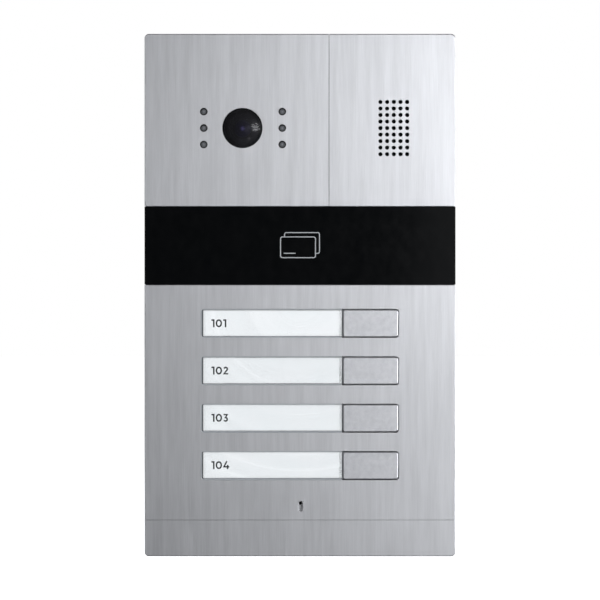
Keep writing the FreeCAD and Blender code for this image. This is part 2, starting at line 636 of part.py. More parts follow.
# ---------------------------------------------------------------- infrared lamps
def led_bushes():
    """Black bushes that line the lamp holes."""
    bushes = []
    for x, z in LED_PLACES:
        profile = [
            (1.06, FACE + 0.1), (1.45, FACE + 0.1), (1.45, DECK_BACK), (2.3, DECK_BACK),
            (2.3, DECK_BACK + 0.6), (1.06, DECK_BACK + 0.6), (1.06, FACE + 0.1),
        ]
        bushes.append(turned(x, z, path(profile)))
    return Part.makeCompound(bushes)


def ir_leds():
    """Round-tipped lamps, each on a small collar."""
    tip, collar = FACE + 0.55, IR_BOARD_FRONT - 0.55
    lamps = []
    for x, z in LED_PLACES:
        edges = [arc((0, tip), (math.sqrt(0.5), tip + 1 - math.sqrt(0.5)), (1.0, tip + 1.0))]
        edges += path([(1.0, tip + 1.0), (1.0, collar), (1.5, collar), (1.5, IR_BOARD_FRONT)])
        edges += path([(1.5, IR_BOARD_FRONT), (0, IR_BOARD_FRONT), (0, tip)])
        lamps.append(turned(x, z, edges))
    return Part.makeCompound(lamps)


def ir_board():
    board = slab_at(CAMERA_X, CAMERA_Z, 19.4, 11.2, IR_BOARD_FRONT, IR_BOARD_BACK, 1.0)
    board = board.cut(rod(CAMERA_X, CAMERA_Z, 8.4, IR_BOARD_FRONT, IR_BOARD_BACK))
    return drilled(board, IR_SCREW_PLACES)


# ---------------------------------------------------------------- speaker
def speaker_mesh():
    """Acoustic cloth over the grille, in the tape layer."""
    return slab_at(SPEAKER_X, SPEAKER_Z, 7.9, 12.9, PLATE_BACK + 0.02, DECK_FRONT, 0.8)


def speaker_gasket():
    ring = rod(SPEAKER_X, SPEAKER_Z, SPEAKER_RADIUS - 0.4, DECK_BACK, DECK_BACK + 1.5)
    return ring.cut(rod(SPEAKER_X, SPEAKER_Z, SPEAKER_RADIUS - 2.4, DECK_BACK, DECK_BACK + 1.5))


def speaker_frame():
    """Pressed basket with two screw ears and four windows round its cone."""
    flange = DECK_BACK + 1.5
    profile = [
        (CONE_RADIUS, flange), (SPEAKER_RADIUS, flange), (SPEAKER_RADIUS, flange + 1.0),
        (SPEAKER_RADIUS - 0.8, flange + 1.0), (11.4, -20.8), (11.4, -20.0), (6.0, -20.0), (6.0, -21.0),
        (10.6, -21.0), (SPEAKER_RADIUS - 2.0, flange + 1.0), (CONE_RADIUS - 0.8, flange + CONE_FILM),
        (CONE_RADIUS, flange + CONE_FILM), (CONE_RADIUS, flange),
    ]
    basket = turned(SPEAKER_X, SPEAKER_Z, path(profile))
    ears = slab_at(SPEAKER_X, SPEAKER_Z, 4.2, 24.2, flange + 1.0, flange + 2.0, 3.0)
    ears = ears.cut(rod(SPEAKER_X, SPEAKER_Z, SPEAKER_RADIUS - 2.0, flange, flange + 2.0))
    vents = [
        rod(SPEAKER_X + 13.6 * math.cos(a), SPEAKER_Z + 13.6 * math.sin(a), 1.8, flange + 2.2, -19.0)
        for a in [math.radians(45 + 90 * k) for k in range(4)]
    ]
    holes = [rod(x, z, FINE_SCREW_RADIUS + 0.1, flange, flange + 2.0) for x, z in SPEAKER_SCREW_PLACES]
    return fuse_all([basket, ears]).cut(vents + holes)


def speaker_cone():
    """Film diaphragm with a rolled edge and a centre dome, one moulding glued to the frame's rim."""
    flange = DECK_BACK + 1.5
    film = flange + CONE_FILM
    edges = path([(CONE_RADIUS, flange), (CONE_RADIUS, film), (15.4, film)])
    edges.append(arc((15.4, film), (14.4, film + 0.7), (13.4, film + 0.3)))
    edges += path([(13.4, film + 0.3), (5.0, -24.2)])
    edges.append(arc(*dome(-26.0, -24.2, 5.0)[::-1]))
    edges += path([(0, -26.0), (0, -26.3)])
    edges.append(arc(*dome(-26.3, -24.6, 5.2)))
    edges += path([(5.2, -24.6), (13.3, flange + 0.2)])
    edges.append(arc((13.3, flange + 0.2), (14.4, flange + 0.65), (15.4, flange)))
    edges += path([(15.4, flange), (CONE_RADIUS, flange)])
    return turned(SPEAKER_X, SPEAKER_Z, edges)


def speaker_magnet():
    """Magnet ring between its pole plates, with the pole piece up the middle."""
    plates = [rod(SPEAKER_X, SPEAKER_Z, SPEAKER_MAGNET_RADIUS, -20.0, -19.0)]
    plates += [rod(SPEAKER_X, SPEAKER_Z, SPEAKER_MAGNET_RADIUS + 0.4, -19.0, -15.4)]
    plates += [rod(SPEAKER_X, SPEAKER_Z, SPEAKER_MAGNET_RADIUS, -15.4, -14.2)]
    solid = fuse_all(plates)
    gap = rod(SPEAKER_X, SPEAKER_Z, 5.2, -20.0, -15.4).cut(rod(SPEAKER_X, SPEAKER_Z, 4.2, -20.0, -15.4))
    return solid.cut(gap)


def wire(points, bend):
    """Round lead through points, its corners rounded by arcs of one radius."""
    vectors = [Vector(*p) for p in points]
    edges = []
    last = vectors[0]
    for before, corner, after in zip(vectors, vectors[1:], vectors[2:]):
        inward = (before - corner).normalize()
        outward = (after - corner).normalize()
        half = inward.getAngle(outward) / 2
        reach = bend / math.tan(half)
        start, end = corner + inward * reach, corner + outward * reach
        bisector = (inward + outward).normalize()
        middle = corner + bisector * (bend / math.sin(half) - bend)
        edges.append(Part.makeLine(last, start))
        edges.append(Part.Arc(start, middle, end).toShape())
        last = end
    edges.append(Part.makeLine(last, vectors[-1]))
    spine = Part.Wire(edges)
    tangent = (vectors[1] - vectors[0]).normalize()
    section = Part.Wire([Part.makeCircle(WIRE_RADIUS, vectors[0], tangent)])
    return spine.makePipeShell([section], True, True)


def speaker_lead():
    """Two insulated wires from the speaker's tags to the main board's header."""
    leads = []
    for offset in (0.0, 2.0):
        x = 26.0 + offset
        leads.append(wire([(x, -19.2, 57.0), (x, -17.4, 50.0), (x, -9.9, 46.4), (x, -9.9, 40.0)], 2.6))
    return Part.makeCompound(leads)


# ---------------------------------------------------------------- card reader
def antenna_board():
    return drilled(slab(-42.0, 42.0, 8.0, 31.0, DECK_BACK, DECK_BACK + 1.0, 1.0), ANTENNA_SCREW_PLACES)


def antenna_coil():
    """Copper turns on the antenna board, one inside the other."""
    turns = []
    for turn in range(6):
        inset = 1.1 * turn
        x, low, high = 35.0 - inset, 9.0 + inset, 30.0 - inset
        outer = slab(-x, x, low, high, DECK_BACK + 1.0, DECK_BACK + 1.12, 3.0)
        inner = slab(-x + 0.6, x - 0.6, low + 0.6, high - 0.6, DECK_BACK + 1.0, DECK_BACK + 1.12, 2.4)
        turns.append(outer.cut(inner))
    return Part.makeCompound(turns)


# ---------------------------------------------------------------- microphone
def microphone():
    """Electret capsule on the key board, with its small sound hole."""
    capsule = rod(MIC_X, MIC_Z, CAPSULE_RADIUS, KEY_BOARD_FRONT - 2.7, KEY_BOARD_FRONT)
    capsule = chamfer_at(capsule, KEY_BOARD_FRONT - 2.7, 0.3)
    return capsule.cut(rod(MIC_X, MIC_Z, 0.7, KEY_BOARD_FRONT - 2.7, KEY_BOARD_FRONT - 2.2))


def microphone_boot():
    """Rubber boot that joins the capsule to the port in the deck."""
    boot = rod(MIC_X, MIC_Z, BOOT_RADIUS, DECK_BACK, KEY_BOARD_FRONT - 0.1)
    bore = rod(MIC_X, MIC_Z, CAPSULE_RADIUS, KEY_BOARD_FRONT - 2.7, KEY_BOARD_FRONT - 0.1)
    return boot.cut([bore, rod(MIC_X, MIC_Z, 1.0, DECK_BACK, KEY_BOARD_FRONT - 2.7)])


# ---------------------------------------------------------------- call keys and name plates
def call_button(row):
    """Cast key: a textured cap, a flange that keeps it in the case, and a stem that presses the dome."""
    z = ROW_Z[row]
    half_x = (KEY_RIGHT - KEY_LEFT) / 2
    front, seat, back = FACE - KEY_PROUD, DECK_BACK + 0.1, DECK_BACK + 1.2
    cap = slab_at(KEY_X, z, half_x, KEY_HALF, front, seat, (0.5, 1.0, 1.0, 0.5))
    cap = chamfer_at(cap, front, EDGE_CHAMFER)
    hollow = slab_at(KEY_X, z, half_x - 1.4, KEY_HALF - 1.4, front + 1.6, back)
    flange = slab_at(KEY_X, z, half_x + 1.2, KEY_HALF + 1.3, seat, back, 0.8)
    stem = rod(KEY_X, z, 2.4, front + 1.0, DOME_TOP)
    webs = [
        slab_at(KEY_X, z, half_x - 1.0, 0.5, front + 1.0, seat + 0.5),
        slab_at(KEY_X, z, 0.5, KEY_HALF - 1.0, front + 1.0, seat + 0.5),
    ]
    return fuse_all([cap.cut(hollow), flange.cut(hollow), stem] + webs)


def rubber_dome(row):
    """Silicone dome that returns the key, with its contact pad inside."""
    z = ROW_Z[row]
    base = KEY_BOARD_FRONT
    step = base - DOME_FLANGE
    profile = [
        (0, DOME_TOP), (2.3, DOME_TOP), (2.3, -27.0), (4.3, step), (5.2, step), (5.2, base), (3.9, base),
        (3.6, step - 0.3), (1.9, -26.4), (1.6, -26.4), (1.6, -25.1), (0, -25.1), (0, DOME_TOP),
    ]
    return turned(KEY_X, z, path(profile))


def name_window(row):
    """Clear name window with a flange behind the plate on three sides."""
    z = ROW_Z[row]
    half = SLOT_HEIGHT / 2 - EDGE_GAP
    flange_front = PLATE_BACK + 0.05
    corners = (1.0, 0.2, 0.2, 1.0)
    body = slab(WINDOW_LEFT, WINDOW_RIGHT, z - half, z + half, FACE + 0.15, WINDOW_BACK, corners)
    body = chamfer_at(body, FACE + 0.15, 0.15)
    flange = slab(WINDOW_LEFT - 0.8, WINDOW_RIGHT, z - 6.15, z + 6.15, flange_front, WINDOW_BACK, 0.4)
    return fuse_all([body, flange])


def name_card(row):
    """Printed card between the window's back and its seat in the deck."""
    z = ROW_Z[row]
    return slab(CARD_LEFT, CARD_RIGHT, z - CARD_HALF, z + CARD_HALF, WINDOW_BACK, CARD_BACK, 0.3)


def light_guides():
    """White boxes that spread the lamps' light behind each card, open to the key board."""
    guides = []
    for z in ROW_Z:
        back = KEY_BOARD_FRONT - 1.0
        box = slab(GUIDE_LEFT, GUIDE_RIGHT, z - GUIDE_HALF, z + GUIDE_HALF, CARD_BACK, back, 0.3)
        inner = (GUIDE_LEFT + 1, GUIDE_RIGHT - 1, z - GUIDE_HALF + 1, z + GUIDE_HALF - 1)
        guides.append(box.cut(slab(*inner, CARD_BACK + 1.0, back, 0.3)))
    return Part.makeCompound(guides)


def backlight_leds():
    lamps = []
    for z in ROW_Z:
        for x in (-29.0, -11.5, 6.0):
            lamp = slab_at(x, z, 1.75, 1.4, KEY_BOARD_FRONT - 1.5, KEY_BOARD_FRONT, 0.3)
            lamps.append(lamp.cut(rod(x, z, 1.0, KEY_BOARD_FRONT - 1.5, KEY_BOARD_FRONT - 1.1)))
    return Part.makeCompound(lamps)


def key_board():
    board = slab(-43.0, 43.0, CAVITY_BOTTOM + 0.5, -1.5, KEY_BOARD_FRONT, KEY_BOARD_BACK, 1.5)
    return drilled(board, KEY_SCREW_PLACES)


# ---------------------------------------------------------------- main board
def main_board():
    return drilled(slab(-50.0, 50.0, -62.0, 43.0, MAIN_BOARD_FRONT, MAIN_BOARD_BACK, 1.5), MAIN_SCREW_PLACES)


def terminal_block():
    """Ten-way block: wires enter from below, screws face the wall."""
    pitch = (TERMINAL_X1 - TERMINAL_X0) / TERMINAL_WAYS
    body = slab(TERMINAL_X0, TERMINAL_X1, TERMINAL_Z0, TERMINAL_Z1, MAIN_BOARD_BACK, TERMINAL_BACK, 0.3)
    step = slab(TERMINAL_X0, TERMINAL_X1, TERMINAL_Z1 - 2.2, TERMINAL_Z1, TERMINAL_BACK - 2.0, TERMINAL_BACK)
    cuts = [step]
    screws = []
    for way in range(TERMINAL_WAYS):
        x = TERMINAL_X0 + pitch * (way + 0.5)
        z = TERMINAL_Z0 + 3.4
        cuts.append(rod(x, z, 1.4, TERMINAL_BACK - 3.4, TERMINAL_BACK))
        cuts.append(slab_at(x, TERMINAL_Z0, 1.2, 5.6, -13.4, -11.0))
        screw = rod(x, z, 1.3, TERMINAL_BACK - 2.4, TERMINAL_BACK - 0.9)
        screws.append(screw.cut(slab_at(x, z, 1.4, 0.25, TERMINAL_BACK - 1.5, TERMINAL_BACK - 0.9)))
    return Part.makeCompound([body.cut(cuts)] + screws)


def chip(x, z, half_x, half_z, height, legs):
    """Moulded chip on the main board's back, with legs along its two long sides."""
    top = MAIN_BOARD_BACK + height
    body = slab_at(x, z, half_x, half_z, MAIN_BOARD_BACK + 0.1, top, 0.2)
    pitch = 2 * half_x / legs
    pins = [
        slab_at(
            x - half_x + pitch * (leg + 0.5), z + side * (half_z + 0.4), pitch * 0.2, 0.7,
            MAIN_BOARD_BACK, MAIN_BOARD_BACK + 0.5,
        )
        for side in (-1, 1)
        for leg in range(legs)
    ]
    return fuse_all([body] + pins)


def can_capacitor(x, z, radius, height):
    can = rod(x, z, radius, MAIN_BOARD_BACK, MAIN_BOARD_BACK + height)
    edge = [e for e in can.Edges if all(abs(v.Y - MAIN_BOARD_BACK - height) < ON_PLANE for v in e.Vertexes)]
    return can.makeFillet(0.5, edge)


def board_components():
    """Chips, relay, capacitors, sockets and the trimmer's body, each a solid of its own."""
    parts = [
        chip(-14.0, -18.0, 9.0, 6.0, 2.0, 14),
        chip(14.0, -16.0, 6.5, 3.9, 1.9, 10),
        chip(-30.0, -42.0, 5.0, 2.6, 1.7, 8),
        chip(8.0, -40.0, 5.0, 2.6, 1.7, 8),
        slab_at(34.0, -34.0, 7.6, 5.2, MAIN_BOARD_BACK, MAIN_BOARD_BACK + 7.4, 0.4),
        slab_at(34.0, -12.0, 6.0, 6.0, MAIN_BOARD_BACK, MAIN_BOARD_BACK + 4.2, 0.8),
        can_capacitor(-38.0, -8.0, 4.0, 6.6),
        can_capacitor(-38.0, -20.0, 3.2, 6.0),
        can_capacitor(24.0, -50.0, 3.2, 6.0),
        can_capacitor(-8.0, -52.0, 2.5, 5.4),
        slab_at(27.0, 39.0, 3.6, 2.2, MAIN_BOARD_BACK, MAIN_BOARD_BACK + 5.4, 0.3),
        slab_at(CAMERA_X, 39.0, 6.2, 2.0, MAIN_BOARD_BACK, MAIN_BOARD_BACK + 2.2, 0.3),
        slab_at(CAMERA_X, 51.6, 6.2, 2.0, CAMERA_BOARD_BACK, CAMERA_BOARD_BACK + 2.2, 0.3),
        slab_at(0.0, -30.0, 13.0, 1.4, KEY_BOARD_BACK, MAIN_BOARD_FRONT),
        slab_at(0.0, 19.5, 2.6, 1.3, DECK_BACK + 1.0, MAIN_BOARD_FRONT),
        slab_at(CAMERA_X, CAMERA_Z - 9.9, 4.0, 1.0, IR_BOARD_BACK, CAMERA_BOARD_FRONT),
    ]
    body = slab_at(TRIMMER_X, TRIMMER_Z, 3.5, 3.5, MAIN_BOARD_BACK, MAIN_BOARD_BACK + 3.8, 0.4)
    well = rod(TRIMMER_X, TRIMMER_Z, TRIMMER_ROTOR_RADIUS + 0.1, MAIN_BOARD_BACK + 3.0, MAIN_BOARD_BACK + 3.8)
    parts.append(body.cut(well))
    return Part.makeCompound(parts)


def trimmer_rotor():
    """Slotted rotor that sets the speaker's volume."""
    rotor = rod(TRIMMER_X, TRIMMER_Z, TRIMMER_ROTOR_RADIUS, MAIN_BOARD_BACK + 3.05, MAIN_BOARD_BACK + 4.6)
    top = MAIN_BOARD_BACK + 4.6
    slot = slab_at(TRIMMER_X, TRIMMER_Z, 0.35, 2.0, top - 0.8, top)
    arrow = slab_at(TRIMMER_X, TRIMMER_Z + 1.3, 0.8, 0.35, top - 0.8, top)
    return rotor.cut([slot, arrow])


def board_screws():
    """One kind of small screw holds every board and the speaker."""
    places = [(p, MAIN_BOARD_BACK, 7.0) for p in MAIN_SCREW_PLACES]
    places += [(p, KEY_BOARD_BACK, 7.0) for p in KEY_SCREW_PLACES]
    places += [(p, CAMERA_BOARD_BACK, 6.0) for p in CAMERA_SCREW_PLACES]
    places += [(p, IR_BOARD_BACK, 3.4) for p in IR_SCREW_PLACES]
    places += [(p, DECK_BACK + 3.5, 4.6) for p in SPEAKER_SCREW_PLACES]
    places += [(p, DECK_BACK + 1.0, 2.2) for p in ANTENNA_SCREW_PLACES]
    return Part.makeCompound(
        [pan_screw(x, z, seat, length, FINE_SCREW_RADIUS, 1.9, 1.3) for (x, z), seat, length in places]
    )


def camera_ribbon():
    """Flat cable from the camera board's socket down to the main board's, bowed a little to the back."""
    y0, y1 = CAMERA_BOARD_BACK + 1.1, MAIN_BOARD_BACK + 1.1
    top, low = 49.6, 41.0
    thick = 0.2

    def bow(shift):
        middle = Vector(CAMERA_X - 5.0, (y0 + y1) / 2 + 1.5 + shift, (top + low) / 2)
        return Part.Arc(
            Vector(CAMERA_X - 5.0, y0 + shift, top), middle, Vector(CAMERA_X - 5.0, y1 + shift, low)
        ).toShape()

    front, back = bow(0.0), bow(thick)
    ends = [
        Part.makeLine(front.Vertexes[-1].Point, back.Vertexes[-1].Point),
        Part.makeLine(back.Vertexes[0].Point, front.Vertexes[0].Point),
    ]
    return Part.Face(Part.Wire([front, ends[0], back, ends[1]])).extrude(Vector(10.0, 0, 0))


# ---------------------------------------------------------------- output
def sub_parts():
    """Every sub-part's node name and shape."""
    single = [
        camera_plate, speaker_plate, reader_window, button_plate, bottom_strip, strip_clip_frame,
        bonding_tape, front_case, rear_cover, case_seal, rear_cover_screws, wall_bracket, panel_screws,
        wall_seal, camera_window, window_seal, lens_barrel, lens_glass, lens_holder, image_sensor,
        camera_board, led_bushes, ir_leds, ir_board, speaker_mesh, speaker_gasket, speaker_frame,
        speaker_cone, speaker_magnet, speaker_lead, antenna_board, antenna_coil, microphone,
        microphone_boot, light_guides, backlight_leds, key_board, main_board, terminal_block,
        board_components, trimmer_rotor, board_screws, camera_ribbon,
    ]
    for make in single:
        yield make.__name__, make()
    for make in (call_button, rubber_dome, name_window, name_card):
        for row in range(ROW_COUNT):
            yield f"{make.__name__}_{row + 1}", make(row)


def main():
    os.makedirs("parts", exist_ok=True)
    for name, shape in sub_parts():
        assert shape.isValid(), name
        shape.exportStep(os.path.join("parts", f"{name}.step"))
        print(f"{name}: {len(shape.Solids)} solids, {shape.Volume:.1f} mm3")


main()
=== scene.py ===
import json
import math

import bmesh
import bpy
from bpy.props import FloatProperty, PointerProperty, StringProperty
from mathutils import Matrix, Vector

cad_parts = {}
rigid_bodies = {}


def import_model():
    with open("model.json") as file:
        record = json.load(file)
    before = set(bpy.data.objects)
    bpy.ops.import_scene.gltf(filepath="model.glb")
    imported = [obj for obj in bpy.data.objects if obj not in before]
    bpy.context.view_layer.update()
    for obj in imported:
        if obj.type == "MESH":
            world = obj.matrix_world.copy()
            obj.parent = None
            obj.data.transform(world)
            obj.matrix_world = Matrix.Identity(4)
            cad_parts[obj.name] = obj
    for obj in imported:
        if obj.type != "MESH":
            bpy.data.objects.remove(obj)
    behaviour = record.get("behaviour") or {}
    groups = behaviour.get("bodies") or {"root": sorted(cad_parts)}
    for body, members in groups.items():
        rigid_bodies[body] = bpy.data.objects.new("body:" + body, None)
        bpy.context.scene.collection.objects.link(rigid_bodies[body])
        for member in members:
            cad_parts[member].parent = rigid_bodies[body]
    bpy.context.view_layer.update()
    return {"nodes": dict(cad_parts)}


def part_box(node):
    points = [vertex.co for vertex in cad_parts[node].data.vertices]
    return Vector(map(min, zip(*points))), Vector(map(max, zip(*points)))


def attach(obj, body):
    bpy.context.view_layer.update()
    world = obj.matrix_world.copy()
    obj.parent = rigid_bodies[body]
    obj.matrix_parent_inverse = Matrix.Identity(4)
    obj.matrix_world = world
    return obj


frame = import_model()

bl_info = {
    "name": "Door Intercom Panel",
    "version": (1, 0, 0),
    "blender": (4, 5, 0),
    "location": "3D View > Sidebar > Intercom",
    "description": "Finishes, prints and studio for a wall-mounted door intercom panel",
    "category": "Object",
}

MM = 0.001
ROWS = (1, 2, 3, 4)
NUMBERS = ("101", "102", "103", "104")
MITRE_LIMIT = 0.6
FLOOR_HALF = 3.0
# The room is dark within DARK_FROM of straight in front of the panel, and fully light past DARK_TO.
DARK_FROM = math.radians(34)
DARK_TO = math.radians(72)
# Share of the room's light that is left in the dark part.
FRONT_SHARE = 0.08
# Flange of the name windows, and how much of their edge is left satin.
WINDOW_FLANGE = 0.8 * MM
WINDOW_RIM = 0.06 * MM
ACRYLIC_IOR = 1.49
# The hard coat leaves the dome about a third of bare acrylic's reflection.
DOME_IOR = 1.25
# Radius of the dome's outer sphere, which rises 1.5 mm over a half-width of 7.75 mm.
DOME_BALL = 20.77 * MM
# The painted violet glint of the lens fades out this far from its middle.
LENS_REFLECTION_REACH = 1.4 * MM
# Units of the circuit boards' pattern in a metre, for tracks 0.4 mm wide in rows 3.8 mm apart.
BOARD_UNITS = 420.0
# A thread and a gap of the speaker's cloth, and the radians that a wave texture turns in one unit.
WEAVE_PITCH = 0.5 * MM
WAVE_RATE = 20
SYMBOL_INK = 0.03 * MM
NUMBER_INK = 0.02 * MM
# The reader's symbol, in widths of its front card.
CARD_HEIGHT = 0.593
CARD_SHIFT = (0.115, 0.124)
CARD_CORNER = 0.055
CARD_PLACE = (0.557, 0.344)
STRIPE_START = 0.092
STRIPE_LENGTH = 0.332


# ---------------------------------------------------------------- small helpers
def linear(hex_value):
    """Turns an sRGB hex string such as "8A8C90" into the linear RGBA that shaders and lights take."""
    parts = [int(hex_value[i : i + 2], 16) / 255 for i in (0, 2, 4)]
    return tuple(p / 12.92 if p <= 0.04045 else ((p + 0.055) / 1.055) ** 2.4 for p in parts) + (1.0,)


def add(tree, kind, inputs=None, **settings):
    """Adds a node. settings are its own properties; inputs are socket values or sockets that feed them."""
    node = tree.nodes.new(kind)
    for name, value in settings.items():
        setattr(node, name, value)
    for name, value in (inputs or {}).items():
        if isinstance(value, bpy.types.NodeSocket):
            tree.links.new(value, node.inputs[name])
        else:
            node.inputs[name].default_value = value
    return node


def new_material(name):
    """Empty node material. Returns it with its tree."""
    material = bpy.data.materials.new(name)
    material.use_nodes = True
    material.node_tree.nodes.clear()
    return material, material.node_tree


def grain(tree, cell_mm, detail=3.0, roughness=0.55, kind="ShaderNodeTexNoise"):
    """Value pattern whose cells are cell_mm = (x, y, z) millimetres in the object's own space."""
    place = add(tree, "ShaderNodeTexCoord")
    scale = tuple(1 / (c * MM) for c in cell_mm)
    mapped = add(tree, "ShaderNodeMapping", {"Vector": place.outputs["Object"], "Scale": scale})
    if kind == "ShaderNodeTexVoronoi":
        return add(tree, kind, {"Vector": mapped.outputs[0], "Scale": 1.0}).outputs["Distance"]
    inputs = {"Vector": mapped.outputs[0], "Scale": 1.0, "Detail": detail, "Roughness": roughness}
    return add(tree, kind, inputs).outputs[0]


def spread(tree, value, low, high, from_low=0.3, from_high=0.7):
    """Stretches a pattern's middle range to low..high."""
    inputs = {"Value": value, "From Min": from_low, "From Max": from_high, "To Min": low, "To Max": high}
    return add(tree, "ShaderNodeMapRange", inputs).outputs[0]


def blend_colours(tree, factor, first, second):
    """Mixes two colours by a pattern."""
    return add(tree, "ShaderNodeMix", {0: factor, 6: first, 7: second}, data_type="RGBA").outputs[2]


def bump(tree, height, depth_mm, strength=1.0, normal=None):
    """Bump whose full height is depth_mm."""
    inputs = {"Height": height, "Distance": depth_mm * MM, "Strength": strength}
    if normal is not None:
        inputs["Normal"] = normal
    return add(tree, "ShaderNodeBump", inputs).outputs[0]


def ball_normal(tree, centre):
    """Normal of a true sphere round centre, on the side of the surface that is seen."""
    place = add(tree, "ShaderNodeTexCoord")
    facet = add(tree, "ShaderNodeNewGeometry")
    away = add(tree, "ShaderNodeVectorMath", {0: place.outputs["Object"], 1: centre}, operation="SUBTRACT")
    inputs = {0: away.outputs[0], 1: facet.outputs["True Normal"]}
    along = add(tree, "ShaderNodeVectorMath", inputs, operation="DOT_PRODUCT")
    side = add(tree, "ShaderNodeMath", {0: along.outputs["Value"]}, operation="SIGN")
    inputs = {0: away.outputs[0], "Scale": side.outputs[0]}
    seen = add(tree, "ShaderNodeVectorMath", inputs, operation="SCALE")
    return add(tree, "ShaderNodeVectorMath", {0: seen.outputs[0]}, operation="NORMALIZE").outputs[0]


def output(tree, shader):
    """Ends a material in its surface shader."""
    add(tree, "ShaderNodeOutputMaterial", {"Surface": shader})


def finish_nodes(material, names):
    """Gives CAD nodes their material, in place of the one that the model came with."""
    for name in names:
        node = frame["nodes"][name]
        node.data.materials.clear()
        node.data.materials.append(material)


def plain_finish(name, dark, light, roughness, cell_mm, depth_mm, metallic=0.0, **sockets):
    """Finish of one substance: two close shades, a roughness range and a bump, all from one grain size."""
    material, tree = new_material(name)
    pattern = grain(tree, cell_mm)
    colour = blend_colours(tree, spread(tree, pattern, 0.0, 1.0), linear(dark), linear(light))
    inputs = {
        "Base Color": colour,
        "Roughness": spread(tree, pattern, *roughness),
        "Metallic": metallic,
        "Normal": bump(tree, pattern, depth_mm),
    }
    inputs.update(sockets)
    output(tree, add(tree, "ShaderNodeBsdfPrincipled", inputs).outputs[0])
    return material


def new_piece(name, mesh, body, material):
    """Links a mesh as a piece of the object that moves with a CAD body."""
    piece = bpy.data.objects.new(name, mesh)
    bpy.context.scene.collection.objects.link(piece)
    mesh.materials.append(material)
    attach(piece, body)
    return piece


def arc_points(centre, radius, start_deg, end_deg, steps=8):
    """Points along an arc in the X-Z plane."""
    for step in range(steps + 1):
        angle = math.radians(start_deg + (end_deg - start_deg) * step / steps)
        yield centre[0] + radius * math.cos(angle), centre[1] + radius * math.sin(angle)


def sideways(before, here, after, half):
    """Half the stroke's width at a point, square to its path, and longer on a corner to keep it even."""
    ways = [Vector(b) - Vector(a) for a, b in ((before, here), (here, after)) if a != b]
    normals = [Vector((-way.y, way.x)).normalized() for way in ways]
    across = sum(normals, Vector((0.0, 0.0))).normalized()
    return across * half / max(across.dot(normals[0]), MITRE_LIMIT)


def stroke(build, points, width, front_y, thickness, closed=False):
    """Adds a printed line of one width along X-Z points to a bmesh, as a thin closed ribbon."""
    points = [tuple(q) for q in points]
    count = len(points)
    rings = []
    for i, (x, z) in enumerate(points):
        before = points[i - 1] if closed or i > 0 else points[i]
        after = points[(i + 1) % count] if closed or i < count - 1 else points[i]
        side = sideways(before, points[i], after, width / 2)
        corners = ((1, front_y), (-1, front_y), (-1, front_y + thickness), (1, front_y + thickness))
        rings.append([build.verts.new((x + s * side.x, y, z + s * side.y)) for s, y in corners])
    pairs = zip(rings, rings[1:] + rings[:1]) if closed else zip(rings, rings[1:])
    for first, second in pairs:
        for k in range(4):
            build.faces.new((first[k], first[(k + 1) % 4], second[(k + 1) % 4], second[k]))
    if not closed:
        build.faces.new(rings[0][::-1])
        build.faces.new(rings[-1])


def digit_strokes(digit, weight):
    """Centre lines of a plain figure one unit high, each with whether it is closed, and its width."""
    edge = weight / 2
    top, base = 1 - edge, edge
    if digit == "0":
        round_points = arc_points((0, 0), 1, 0, 350, 35)
        oval = [(0.4 + (0.4 - edge) * x, 0.5 + (0.5 - edge) * z) for x, z in round_points]
        return [(oval, True)], 0.8
    if digit == "1":
        return [([(0.0, top), (0.3, top), (0.3, 0.0)], False)], 0.3 + edge
    if digit == "2":
        bowl = list(arc_points((0.32, 0.7), 0.3 - edge, 165, -38))
        return [(bowl + [(0.11, base), (0.64, base)], False)], 0.64
    if digit == "3":
        bowl = list(arc_points((0.3, 0.31), 0.31 - edge, 90, -150))
        return [([(0.05, top), (0.52, top), (0.26, 0.62 - edge)] + bowl, False)], 0.61
    if digit == "4":
        bar = 0.29
        slope = [(0.46, 1.0), (0.1, bar), (0.76, bar)]
        stem = 0.56
        legs = [[(stem, 0.52), (stem, bar + edge)], [(stem, bar - edge), (stem, 0.0)]]
        return [(slope, False)] + [(leg, False) for leg in legs], 0.76
    raise ValueError(f"no figure drawn for {digit}")


def finished_mesh(name, build):
    """Closes a bmesh into a mesh with its faces looking outwards."""
    bmesh.ops.recalc_face_normals(build, faces=build.faces)
    mesh = bpy.data.meshes.new(name)
    build.to_mesh(mesh)
    build.free()
    return mesh


# ---------------------------------------------------------------- settings
class IntercomFinishes(bpy.types.PropertyGroup):
    """Colours and grain of the parts that show."""

    metal_dark: StringProperty(
        name="Metal, dark grain", description="sRGB hex of the grain's dark lines", default="C2C3C6"
    )
    metal_light: StringProperty(
        name="Metal, light grain", description="sRGB hex of the grain's light lines", default="D0D1D4"
    )
    grain_width: FloatProperty(
        name="Grain width", description="Width of one brushed line", default=0.00034, min=0.0001,
        unit="LENGTH"
    )
    grain_length: FloatProperty(
        name="Grain length", description="Length of one brushed line", default=0.013, min=0.001, unit="LENGTH"
    )
    key_grit: FloatProperty(
        name="Key grit", description="Size of one blasted dimple", default=0.0004, min=0.0001, unit="LENGTH"
    )
    band_colour: StringProperty(
        name="Reader band", description="sRGB hex of the black acrylic", default="060708"
    )
    case_colour: StringProperty(name="Case", description="sRGB hex of the moulded case", default="2A2B2E")


